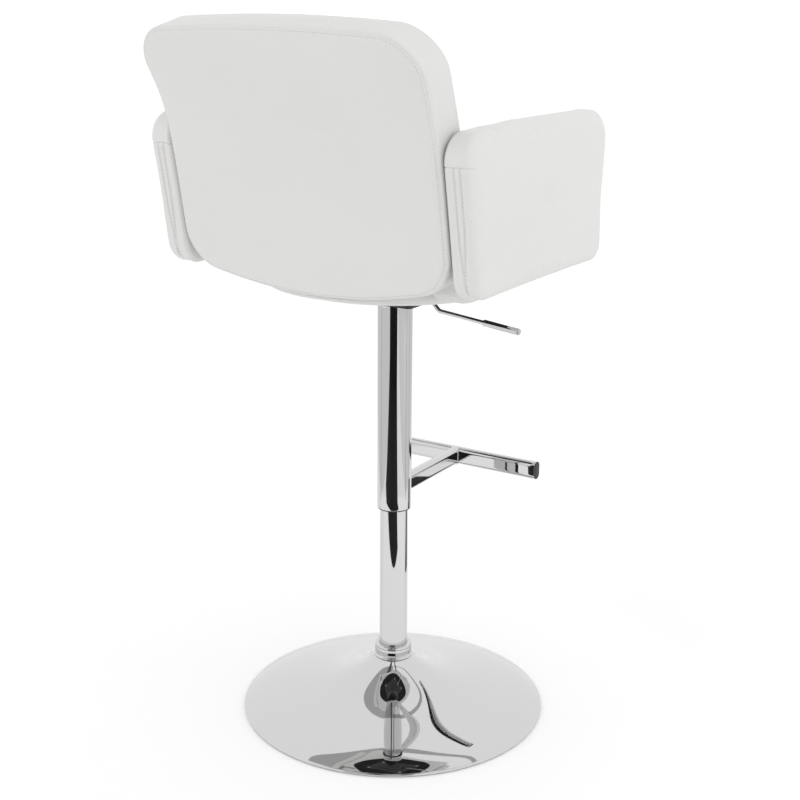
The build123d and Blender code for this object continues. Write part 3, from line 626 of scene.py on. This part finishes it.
def boxed_rows(thick, edge, reach, band_step):
    """Rows across a boxed pad, from the middle of one panel, over the rounded edge and the band to the other.
    Gives the share of the way out, the inset, the depth through the pad, and the distance past the border."""
    steps = np.cumsum(1.1 * 1.2 ** np.arange(60))
    steps = steps[steps < 26.0]
    steps = np.concatenate([steps, np.arange(steps[-1] + 7.0, reach - 5.0, 7.5)])[::-1]
    angle = np.radians(np.linspace(0.0, 90.0, 13))
    band = np.arange(edge + band_step, thick - edge - band_step / 2.0, band_step)
    panel_share = np.concatenate([[0.0], 1.0 - steps / reach])
    share = np.concatenate([panel_share, np.ones(2 * len(angle) + len(band)), panel_share[::-1]])
    inset = np.concatenate([np.full(len(steps) + 1, edge), edge * (1 - np.sin(angle)), np.zeros(len(band)),
                            edge * (1 - np.cos(angle)), np.full(len(steps) + 1, edge)])
    depth = np.concatenate([np.zeros(len(steps) + 1), edge * (1 - np.cos(angle)), band,
                            thick - edge + edge * np.sin(angle), np.full(len(steps) + 1, thick)])
    past = np.concatenate([[-reach], -steps, edge * angle, edge * np.pi / 2 + band - edge,
                           edge * np.pi / 2 + thick - 2 * edge + edge * angle])
    past = np.concatenate([past, past[-1] + steps[::-1], [past[-1] + reach]])
    return share, inset, depth, past


def pad_points(line, centre, rows, crown):
    """Each row carries the outline, set in by its inset and drawn towards the centre by its share. The panels
    rise by crown times one less the square of the distance out each way, so they have no ridge."""
    share, inset, depth, _ = rows
    flat = centre + share[:, None, None] * (line + inward(line) * inset[:, None, None] - centre)
    middle = (depth.max() + depth.min()) / 2.0
    out = (flat - centre) / np.abs(line - centre).max(0)
    dome = np.prod(1.0 - np.clip(out, -1.0, 1.0) ** 2, axis=-1)
    panel = (np.abs(depth - middle) > middle - 0.01) * np.sign(depth - middle)
    rise = depth[:, None] + crown * panel[:, None] * dome
    return np.concatenate([flat, rise[..., None]], -1)


def pad_faces(rows, columns):
    """Faces of a pad whose first and last rows are each drawn into one point."""
    inner = grid_faces(rows - 2, columns) + 1
    j = np.arange(columns)
    after = (j + 1) % columns
    last = (rows - 3) * columns + 1
    tip = (rows - 2) * columns + 1
    start = np.stack([np.zeros_like(j), after + 1, j + 1], 1)
    end = np.stack([np.full_like(j, tip), last + j, last + after], 1)
    return [list(f) for f in inner] + [list(f) for f in start] + [list(f) for f in end]


def pad_list(grid):
    """The grid as one list of points, with the first and last rows each as a single point."""
    return np.concatenate([grid[0].mean(0)[None], grid[1:-1].reshape(-1, 3), grid[-1].mean(0)[None]])


def grid_normals(grid):
    """Unit normals of a closed grid, from its gradients along rows and columns, pointing outwards."""
    down = np.gradient(grid, axis=0)
    ring = (np.roll(grid, -1, axis=1) - np.roll(grid, 1, axis=1)) / 2.0
    out = np.cross(down, ring)
    size = np.linalg.norm(out, axis=-1, keepdims=True)
    out = out / np.maximum(size, 1e-9)
    middle = grid.mean((0, 1))
    lean = np.sign(np.sum(out * (grid - middle)))
    return out * lean


def nearby(points, targets, count):
    """Indices and weights of the closest targets to each point, from whole blocks of squared distances."""
    index, weight = [], []
    for block in np.array_split(points, max(1, len(points) // 1500)):
        gap = (block**2).sum(1)[:, None] + (targets**2).sum(1)[None] - 2.0 * block @ targets.T
        near = np.argpartition(gap, count, axis=1)[:, :count]
        share = 1.0 / (np.maximum(np.take_along_axis(gap, near, 1), 0.0) + 4e-6)
        index.append(near)
        weight.append(share / share.sum(1, keepdims=True))
    return np.concatenate(index), np.concatenate(weight)


def inflated(name, grid, sewn, cap, voxel=0.006, pressure=4.0):
    """How far each grid point swells when the cover is filled, from a cloth simulation of a voxel copy.
    Points marked as sewn are held, and no point moves further than cap."""
    draft = mesh_piece(name + "_draft", pad_list(grid), pad_faces(*grid.shape[:2]), plain_leather)
    remesh = draft.modifiers.new("voxels", "REMESH")
    remesh.mode = "VOXEL"
    remesh.voxel_size = voxel
    shape = bpy.data.meshes.new_from_object(draft.evaluated_get(bpy.context.evaluated_depsgraph_get()))
    bpy.data.objects.remove(draft)
    bag = bpy.data.objects.new(name + "_bag", shape)
    room.collection.objects.link(bag)
    before = np.zeros(len(shape.vertices) * 3)
    shape.vertices.foreach_get("co", before)
    before = before.reshape(-1, 3)
    closest, _ = nearby(before, grid.reshape(-1, 3), 1)
    held = sewn.reshape(-1)[closest[:, 0]]
    group = bag.vertex_groups.new(name="sewn")
    group.add(np.flatnonzero(held).tolist(), 1.0, "REPLACE")
    cloth = bag.modifiers.new("filling", "CLOTH")
    cloth.settings.quality = 5
    cloth.settings.mass = 0.3
    cloth.settings.tension_stiffness = 25.0
    cloth.settings.compression_stiffness = 25.0
    cloth.settings.bending_stiffness = 2.0
    cloth.settings.use_pressure = True
    cloth.settings.uniform_pressure_force = pressure
    cloth.settings.vertex_group_mass = "sewn"
    cloth.settings.effector_weights.gravity = 0.0
    cloth.point_cache.frame_start = 1
    cloth.point_cache.frame_end = 20
    for step in range(1, 21):
        room.frame_set(step)
    filled = bag.evaluated_get(bpy.context.evaluated_depsgraph_get()).to_mesh()
    after = np.zeros(len(filled.vertices) * 3)
    filled.vertices.foreach_get("co", after)
    move = after.reshape(-1, 3) - before
    size = np.linalg.norm(move, axis=1, keepdims=True)
    move *= np.minimum(1.0, cap / np.maximum(size, 1e-9))
    bpy.data.objects.remove(bag)
    room.frame_set(1)
    index, weight = nearby(grid.reshape(-1, 3), before, 12)
    return (move[index] * weight[..., None]).sum(1).reshape(grid.shape)


def smoothed(ramp):
    """Three t squared less two t cubed, with t held between nought and one."""
    t = np.clip(ramp, 0.0, 1.0)
    return t * t * (3.0 - 2.0 * t)


def slow_waves(grid, length, seed):
    """A sum of six slow sine waves with fixed directions, each about length long."""
    dice = np.random.default_rng(seed)
    ways = dice.normal(size=(6, 3))
    ways /= np.linalg.norm(ways, axis=1)[:, None]
    turns = 2.0 * np.pi / (length * dice.uniform(0.7, 1.4, 6))
    return np.sin((grid @ ways.T) * turns + dice.uniform(0.0, 6.28, 6)).sum(-1) / 6.0


def leather_material(name, colour):
    """White leather cloth: a fine pebbled grain, soft broad creases, and a dull sheen that varies."""
    made = plain_material(name, colour, 0.46)
    tree = made.node_tree
    shader = tree.nodes["Principled BSDF"]
    shader.inputs["Specular IOR Level"].default_value = 0.42
    shader.inputs["Coat Weight"].default_value = 0.08
    shader.inputs["Coat Roughness"].default_value = 0.35
    place = tree.nodes.new("ShaderNodeTexCoord")
    grain = tree.nodes.new("ShaderNodeTexVoronoi")
    grain.inputs["Scale"].default_value = 950.0
    grain.inputs["Randomness"].default_value = 0.9
    tree.links.new(place.outputs["Object"], grain.inputs["Vector"])
    fine = noise_node(tree, place, 1900.0, 3.0)
    broad = noise_node(tree, place, 26.0, 3.0)
    soil = noise_node(tree, place, 7.0, 4.0)
    tone = tree.nodes.new("ShaderNodeMix")
    tone.data_type = "RGBA"
    tone.inputs["A"].default_value = (*[c * 0.975 for c in colour[:2]], colour[2] * 0.962, 1.0)
    tone.inputs["B"].default_value = (*[min(c * 1.02, 1.0) for c in colour], 1.0)
    shine = tree.nodes.new("ShaderNodeMapRange")
    shine.inputs["To Min"].default_value = 0.40
    shine.inputs["To Max"].default_value = 0.54
    creases = tree.nodes.new("ShaderNodeBump")
    creases.inputs["Strength"].default_value = 0.10
    creases.inputs["Distance"].default_value = 0.003
    pebbles = tree.nodes.new("ShaderNodeBump")
    pebbles.inputs["Strength"].default_value = 0.28
    pebbles.inputs["Distance"].default_value = 0.0003
    specks = tree.nodes.new("ShaderNodeBump")
    specks.inputs["Strength"].default_value = 0.14
    specks.inputs["Distance"].default_value = 0.0002
    tree.links.new(soil.outputs["Fac"], tone.inputs["Factor"])
    tree.links.new(tone.outputs["Result"], shader.inputs["Base Color"])
    tree.links.new(soil.outputs["Fac"], shine.inputs["Value"])
    tree.links.new(shine.outputs["Result"], shader.inputs["Roughness"])
    tree.links.new(broad.outputs["Fac"], creases.inputs["Height"])
    tree.links.new(grain.outputs["Distance"], pebbles.inputs["Height"])
    tree.links.new(fine.outputs["Fac"], specks.inputs["Height"])
    tree.links.new(creases.outputs["Normal"], pebbles.inputs["Normal"])
    tree.links.new(pebbles.outputs["Normal"], specks.inputs["Normal"])
    tree.links.new(specks.outputs["Normal"], shader.inputs["Normal"])
    return made


plain_leather = leather_material("white_upholstery", (0.69, 0.688, 0.68))
thread = moulded_material("grey_thread", (0.42, 0.42, 0.425), 0.7, 2600.0, 0.6)


def sewn_row(name, path, out, pitch, length, thick, material, sink=0.15):
    """A row of thread stitches: each a short domed bead along the path, partly sunk in the cover."""
    path = np.asarray(path)
    run = np.concatenate([[0.0], np.cumsum(np.linalg.norm(np.diff(path, axis=0), axis=1))])
    at = np.arange(pitch / 2.0, run[-1] - pitch / 2.0, pitch)

    def along(values, where):
        return np.stack([np.interp(where, run, values[:, k]) for k in range(3)], 1)

    centre = along(path, at)
    heading = along(path, at + length / 2.0) - along(path, at - length / 2.0)
    heading /= np.linalg.norm(heading, axis=1)[:, None]
    lift = along(out, at)
    lift -= heading * (lift * heading).sum(1)[:, None]
    lift /= np.linalg.norm(lift, axis=1)[:, None]
    side = np.cross(heading, lift)
    dome = np.radians([-82.0, -45.0, 0.0, 45.0, 82.0])
    angle = np.linspace(0.0, 2.0 * np.pi, 6, endpoint=False)
    bead = np.stack([
        np.broadcast_to(np.sin(dome)[:, None] * length / 2.0, (5, 6)),
        np.cos(dome)[:, None] * np.cos(angle) * thick / 2.0,
        np.cos(dome)[:, None] * np.sin(angle) * thick / 2.0,
    ], -1).reshape(-1, 3)
    turn = np.stack([heading, side, lift], 1)
    points = centre[:, None] - lift[:, None] * sink * thick + np.einsum("bk,nkc->nbc", bead, turn)
    single = np.array(grid_faces(5, 6))
    quads = (np.arange(len(at))[:, None, None] * 30 + single[None]).reshape(-1, 4)
    caps = np.arange(len(at))[:, None] * 30
    faces = [list(f) for f in quads] + [list(f) for f in caps + np.arange(6)[::-1]]
    faces += [list(f) for f in caps + 24 + np.arange(6)]
    return mesh_piece(name, points.reshape(-1, 3), faces, material)


BACK_LEAN = smooth_line([
    (195.0, 650.0), (197.5, 663.0), (208.3, 720.0), (219.6, 780.0), (233.5, 850.0), (248.0, 900.0),
    (267.0, 940.0), (290.5, 980.0), (303.0, 1000.0), (311.0, 1012.0),
], 200)
BACK_HALF = 203.0
BACK_FOOT = 694.0
BACK_HEAD = 996.0
BACK_HEAD_BOW = 9.0
BACK_FOOT_BOW = 31.0
BACK_THICK = 64.5
BACK_EDGE = 10.0
BACK_REACH = 160.0
# A stitch's pitch, length and thickness, in metres.
STITCH = (0.0048, 0.0034, 0.0008)


def back_place(points):
    """Lays the outline on the leaning rear curve, and the depth forwards, partly square with the curve."""
    across_x, height, depth = points[..., 0], points[..., 1], points[..., 2]
    behind = np.interp(height, BACK_LEAN[:, 1], BACK_LEAN[:, 0])
    lean_slope = np.gradient(BACK_LEAN[:, 0]) / np.gradient(BACK_LEAN[:, 1])
    slope = np.interp(height, BACK_LEAN[:, 1], lean_slope)
    tilt = np.arctan(slope) * 0.38
    return np.stack([across_x, behind - depth * np.cos(tilt), height + depth * np.sin(tilt)], -1) / 1000.0


back_corners = rounded_line((-BACK_HALF, BACK_FOOT), (BACK_HALF, BACK_HEAD), (42.0, 50.0, 50.0, 42.0))
back_at, back_line = spaced(back_corners, 2.8)
foot_share = np.clip((1.0 - (back_line[:, 0] / BACK_HALF) ** 2), 0.0, 1.0)
head_share = smoothed((back_line[:, 1] - 700.0) / 290.0)
back_line[:, 1] += foot_share * (BACK_HEAD_BOW * head_share - BACK_FOOT_BOW * (1.0 - head_share))
back_line[:, 0] *= 1.0 + 0.018 * smoothed((back_line[:, 1] - 900.0) / 70.0)
back_rows = boxed_rows(BACK_THICK, BACK_EDGE, BACK_REACH, 2.0)
back_grid = back_place(pad_points(back_line, np.array([0.0, 838.0]), back_rows, 3.0))
back_past = back_rows[3]
back_seams = (BACK_EDGE * np.pi / 4.0, back_past.max() - BACK_REACH - BACK_EDGE * np.pi / 4.0)


def seam_gap(past, seams):
    """Distance across the pad from each row to the nearest seam."""
    return np.abs(past[:, None] - np.asarray(seams)[None]).min(1)


back_gap = seam_gap(back_past, back_seams)
back_sewn = np.broadcast_to((back_gap < 3.0)[:, None], back_grid.shape[:2])
back_swell = inflated("back_pad", back_grid, back_sewn, 0.007)
below_arm_tops = smoothed((0.895 - back_grid[..., 2]) / 0.03)
beside_arms = below_arm_tops * smoothed((np.abs(back_grid[..., 0]) - 0.17) / 0.03)
back_grid = back_grid + back_swell * (1.0 - beside_arms)[..., None]


def sewn_down(grid, gap, at, depth, width, pucker, wave_seed):
    """Draws the cover in at a seam by a bell-shaped groove, puckers it on both sides, and adds slow waves."""
    out = grid_normals(grid)
    groove = -depth * np.exp(-(gap / width) ** 2)
    tuck = np.sin(at * 2.0 * np.pi / 7.5 + 1.7 * np.sin(at / 33.0)) * np.sin(at / 71.0 + 1.0)
    fold = pucker * tuck[None] * (np.exp(-(gap - 3.0) ** 2 / 14.0))
    slack = 0.5 * slow_waves(grid, 0.11, wave_seed) * np.minimum(gap / 20.0, 1.0)
    return grid + out * ((groove + fold + slack) / 1000.0)[..., None]


back_gaps = np.broadcast_to(back_gap[:, None], back_grid.shape[:2])
back_grid = sewn_down(back_grid, back_gaps, back_at, 1.1, 1.3, 0.25, 3)
back_faces = pad_faces(*back_grid.shape[:2])
back_cover = mesh_piece("back_cushion_cover", pad_list(back_grid), back_faces, plain_leather)
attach(back_cover, "seat")
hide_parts("back_pad")
back_out = grid_normals(back_grid)
for seam_name, seam_place in (("back_stitching_rear", back_seams[0] - 2.4),
                              ("back_stitching_front", back_seams[1] + 2.4)):
    row = int(np.argmin(np.abs(back_past - seam_place)))
    closed_path = np.concatenate([back_grid[row], back_grid[row][:1]])
    closed_out = np.concatenate([back_out[row], back_out[row][:1]])
    back_stitches = sewn_row(seam_name, closed_path, closed_out, *STITCH, thread)
    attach(back_stitches, "seat")

# Arm pads: one each side, foam on a plywood board in the same cloth, wrapped over the top and the ends.
# Each rear end is closed by a narrow strip between two seams, under a seam across its head.
ARM_THICK = 37.4
ARM_EDGE = 11.5
ARM_INNER = 204.6
ARM_MIDDLE = np.array([30.0, 790.0])
ARM_LOW_FRONT = (-160.5, 681.0)
ARM_HIGH_REAR = (219.6, 895.0)
ARM_CORNERS = (27.0, 42.0, 42.0, 26.0)
ARM_HEAD_SEAM = 853.0
ARM_REAR = 205.0


def arm_place(points, hand):
    """Stands the outline up along the seat's side, inner panel first, leaned with the back at its rear."""
    along_y, height, depth = points[..., 0], points[..., 1], points[..., 2]
    rear_share = np.clip((along_y + 160.0) / 382.0, 0.0, 1.1)
    lean = 0.186 * (height - 790.0) * rear_share - 0.037 * (height - 790.0) * (1.0 - rear_share)
    top_share = smoothed((height - 760.0) / 130.0)
    front_fall = 4.0 * ((along_y - 60.0) / 190.0) ** 2 * (along_y < 60.0)
    rear_fall = 6.0 * smoothed((along_y - 60.0) / 150.0)
    fall = (front_fall + rear_fall) * top_share
    return np.stack([hand * (ARM_INNER + depth), along_y + lean, height - fall], -1) / 1000.0


for side_name, hand in (("left", 1.0), ("right", -1.0)):
    arm_line = rounded_line(ARM_LOW_FRONT, ARM_HIGH_REAR, ARM_CORNERS)
    rear_run = np.linalg.norm(np.diff(arm_line, axis=0), axis=1).cumsum()
    head_seam = float(rear_run[39] + ARM_HEAD_SEAM - arm_line[40, 1])
    _, arm_line = spaced(arm_line, 2.8, spots=(head_seam,), fine=0.6, reach=5.0)
    arm_rows = boxed_rows(ARM_THICK, ARM_EDGE, 92.0, 0.7)
    arm_grid = arm_place(pad_points(arm_line, ARM_MIDDLE, arm_rows, 1.0), hand)
    border = np.broadcast_to((arm_rows[0] < 0.02)[:, None], arm_grid.shape[:2])
    arm_swell = inflated("arm_pad_" + side_name, arm_grid, border, 0.0035, 0.005, 3.0)
    inner_side = smoothed((0.216 - np.abs(arm_grid[..., 0])) / 0.008)
    by_seat = smoothed((0.76 - arm_grid[..., 2]) / 0.03)
    by_back = smoothed((arm_grid[..., 1] - 0.115) / 0.04)
    arm_grid = arm_grid + arm_swell * (1.0 - inner_side * np.maximum(by_seat, by_back))[..., None]
    arm_out = grid_normals(arm_grid)
    height = arm_line[None, :, 1]
    deep = np.broadcast_to((arm_rows[3] - ARM_EDGE * np.pi / 2 + ARM_EDGE)[:, None], arm_grid.shape[:2])
    at_rear = (arm_line[None, :, 0] > ARM_REAR) & (np.abs(deep - ARM_THICK / 2.0) < 30.0)
    spread = smoothed((height - 688.0) / 90.0)
    first_seam = 13.9 + 4.0 * (1.0 - spread)
    second_seam = 22.4 - 4.0 * (1.0 - spread)
    below_head = smoothed(ARM_HEAD_SEAM + 0.5 - height) * smoothed((height - 684.0) / 8.0)
    strip = np.exp(-((deep - first_seam) / 0.9) ** 2) + np.exp(-((deep - second_seam) / 0.9) ** 2)
    puff = 0.8 * np.exp(-((deep - (first_seam + second_seam) / 2.0) / 2.4) ** 2)
    cross = np.exp(-((height - ARM_HEAD_SEAM) / 0.9) ** 2)
    cross = cross * smoothed((deep + 6.0) / 5.0) * smoothed((46.0 - deep) / 5.0)
    shift = (puff - 1.5 * strip) * below_head * at_rear - 1.3 * cross * at_rear
    on_panels = smoothed(np.abs(deep - ARM_THICK / 2.0) / 12.0 - 0.6)
    shift = shift + 0.45 * slow_waves(arm_grid, 0.09, 11) * on_panels
    arm_grid = arm_grid + arm_out * (shift / 1000.0)[..., None]
    arm_faces = pad_faces(*arm_grid.shape[:2])
    if hand > 0.0:
        arm_faces = [f[::-1] for f in arm_faces]
    arm_cover = mesh_piece("arm_cushion_cover_" + side_name, pad_list(arm_grid), arm_faces, plain_leather)
    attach(arm_cover, "seat")
    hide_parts("arm_pad_" + side_name)
    beside_strip = (arm_line[:, 1] > 690.0) & (arm_line[:, 1] < ARM_HEAD_SEAM - 2.0)
    rear_columns = np.flatnonzero((arm_line[:, 0] > ARM_REAR) & beside_strip)
    flat_rows = np.flatnonzero((deep[:, 0] > 0.0) & (deep[:, 0] < ARM_THICK))
    for seam_name, seam_line in (("inner", first_seam + 1.7), ("outer", second_seam + 1.7)):
        wanted = seam_line[0, rear_columns]
        rows_at = np.interp(wanted, deep[flat_rows, 0], flat_rows.astype(float))
        low_row = np.floor(rows_at).astype(int)
        mix = (rows_at - low_row)[:, None]
        path = arm_grid[low_row, rear_columns] * (1.0 - mix) + arm_grid[low_row + 1, rear_columns] * mix
        stitches = sewn_row(f"arm_stitching_{side_name}_{seam_name}", path, arm_out[low_row, rear_columns],
                            *STITCH, thread)
        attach(stitches, "seat")

# Seat: foam on the plywood frame in the same cloth, boxed, its sides tucked under to a covered pan.
# The pan's edge shows below the back pad, and black cloth closes its underside.
SEAT_EDGE = 14.0
SEAT_HALF = 203.2
SEAT_THICK = 83.0
SEAT_REACH = 150.0
SEAT_BOTTOM = 660.0
TUCK_DEPTH = 34.0


def seat_place(points):
    """Lays the cushion flat, top panel last, and leans its rear with the back pad."""
    across_x, along_y, depth = points[..., 0], points[..., 1], points[..., 2]
    height = SEAT_BOTTOM + depth
    rear_share = smoothed((along_y + 20.0) / 140.0)
    return np.stack([across_x, along_y + 0.186 * (height - 700.0) * rear_share, height], -1) / 1000.0


seat_corners = rounded_line((-SEAT_HALF, -190.0), (SEAT_HALF, 131.0), (40.0, 14.0, 14.0, 40.0))
seat_at, seat_line = spaced(seat_corners, 3.0)
seat_front = smoothed((-40.0 - seat_line[:, 1]) / 120.0)
seat_line[:, 1] -= 5.0 * (1.0 - (seat_line[:, 0] / SEAT_HALF) ** 2) * seat_front
seat_rows = boxed_rows(SEAT_THICK, SEAT_EDGE, SEAT_REACH, 2.2)
seat_flat = pad_points(seat_line, np.array([0.0, -30.0]), seat_rows, 0.0)
out_x = seat_flat[..., 0] / SEAT_HALF
out_y = (seat_flat[..., 1] + 30.0) / 160.0
on_top = (seat_rows[2] > SEAT_THICK - 0.1)[:, None]
seat_flat[..., 2] += 8.0 * on_top * (1.0 - out_x**4) * np.clip(1.0 - out_y**4, 0.0, 1.0)
below_shoulder = (TUCK_DEPTH - np.minimum(seat_flat[..., 2], TUCK_DEPTH)) / TUCK_DEPTH
tuck_in = 1.0 - np.sqrt(np.clip(1.0 - below_shoulder**2, 0.0, 1.0))
seat_flat[..., 0] *= 1.0 - 0.13 * tuck_in
seat_flat[..., 1] += 26.0 * tuck_in * smoothed((-40.0 - seat_flat[..., 1]) / 120.0)
seat_grid = seat_place(seat_flat)
seat_past = seat_rows[3]
seat_seam = seat_past.max() - SEAT_REACH - SEAT_EDGE * np.pi / 4.0
seat_gap = np.abs(seat_past - seat_seam)
held_under = (seat_grid[..., 2] < 0.69) | (seat_gap < 3.0)[:, None]
seat_swell = inflated("seat_cushion", seat_grid, held_under, 0.009)
by_arm = smoothed((np.abs(seat_grid[..., 0]) - 0.18) / 0.02)
by_back_pad = smoothed((seat_grid[..., 1] - 0.10) / 0.03)
seat_grid = seat_grid + seat_swell * ((1.0 - by_arm) * (1.0 - by_back_pad))[..., None]
seat_gaps = np.broadcast_to(seat_gap[:, None], seat_grid.shape[:2])
seat_grid = sewn_down(seat_grid, seat_gaps, seat_at, 1.5, 1.6, 0.35, 7)
seat_faces = pad_faces(*seat_grid.shape[:2])
seat_cover = mesh_piece("seat_cushion_cover", pad_list(seat_grid), seat_faces, plain_leather)
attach(seat_cover, "seat")
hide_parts("seat_cushion")
seat_out = grid_normals(seat_grid)
seat_row = int(np.argmin(np.abs(seat_past - seat_seam - 2.6)))
seat_path = np.concatenate([seat_grid[seat_row], seat_grid[seat_row][:1]])
seat_lift = np.concatenate([seat_out[seat_row], seat_out[seat_row][:1]])
seat_stitches = sewn_row("seat_stitching", seat_path, seat_lift, *STITCH, thread)
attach(seat_stitches, "seat")

# Seat pan: the cushion's base, covered in the same cloth, nearly round. Its rear lip rises to the back pad.
# Each row of the profile has its share of that rise, its inset and its height.
PAN_HALF = 172.0
PAN_CORNER = 160.0
pan_corners = rounded_line((-PAN_HALF, -165.0), (PAN_HALF, 181.0), (PAN_CORNER,) * 4)
_, pan_line = spaced(pan_corners, 3.0)
pan_profile = np.concatenate([
    [(0.0, 86.0, 655.3), (0.0, 60.0, 655.2), (0.0, 30.0, 655.1), (0.0, 12.0, 655.1), (0.0, 7.0, 655.2)],
    [(0.0, 4.0, 655.6), (0.0, 2.0, 656.4), (0.0, 0.6, 657.6), (0.0, 0.0, 659.2), (1.0, 0.0, 660.8)],
    [(1.0, 1.2, 662.0), (1.0, 4.0, 662.5), (1.0, 12.0, 662.6), (1.0, 40.0, 662.7), (1.0, 86.0, 662.7)],
])
pan_flat = pan_line + inward(pan_line) * pan_profile[:, 1, None, None]
under_back = np.maximum(BACK_FOOT_BOW * (pan_flat[..., 0] / BACK_HALF) ** 2 - 0.4, 0.0)
under_back *= smoothed((pan_flat[..., 1] - 95.0) / 30.0)
pan_height = pan_profile[:, 2, None] + under_back * pan_profile[:, 0, None]
pan_rings = np.concatenate([pan_flat, pan_height[..., None]], -1) / 1000.0
pan_ends = pan_rings[[0, -1]] * [0.0, 0.0, 1.0] + [0.0, 0.016, 0.0]
pan_grid = np.concatenate([pan_ends[:1], pan_rings, pan_ends[1:]])
pan_cover = mesh_piece("seat_pan_cover", pad_list(pan_grid), pad_faces(*pan_grid.shape[:2]), plain_leather)
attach(pan_cover, "seat")

# Dust cover: thin black non-woven cloth stapled flat under the seat pan, to keep the dust out.
# The mounting plate is screwed up over it.
COVER_HALF = 163.0
COVER_CORNER = 151.0
cover_corners = rounded_line((-COVER_HALF, -156.0), (COVER_HALF, 172.0), (COVER_CORNER,) * 4)
cover_at, cover_line = spaced(cover_corners, 4.0)
cover_share = np.concatenate([np.linspace(1.0, 0.9, 8), np.linspace(0.88, 0.02, 40)])
cover_middle = np.array([0.0, 16.0])
cover_flat = cover_middle + cover_share[:, None, None] * (cover_line - cover_middle)
hem = smoothed((1.0 - cover_share) / 0.05)
cover_drop = 654.75 - 0.35 * hem[:, None] * (1.0 + 0.4 * np.sin(cover_at / 9.0)[None])
cover_grid = np.concatenate([cover_flat, cover_drop[..., None]], -1) / 1000.0
cloth_black = moulded_material("underside_cloth", (0.004, 0.004, 0.004), 0.85, 1500.0, 1.0)
cover_count = cover_grid.shape[1]
cover_faces = [list(f) for f in grid_faces(len(cover_share), cover_count)]
cover_faces += [list(range((len(cover_share) - 1) * cover_count, len(cover_share) * cover_count))]
dust_cloth = mesh_piece("underside_cloth_sheet", cover_grid.reshape(-1, 3), cover_faces, cloth_black)
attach(dust_cloth, "seat")
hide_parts("dust_cover")
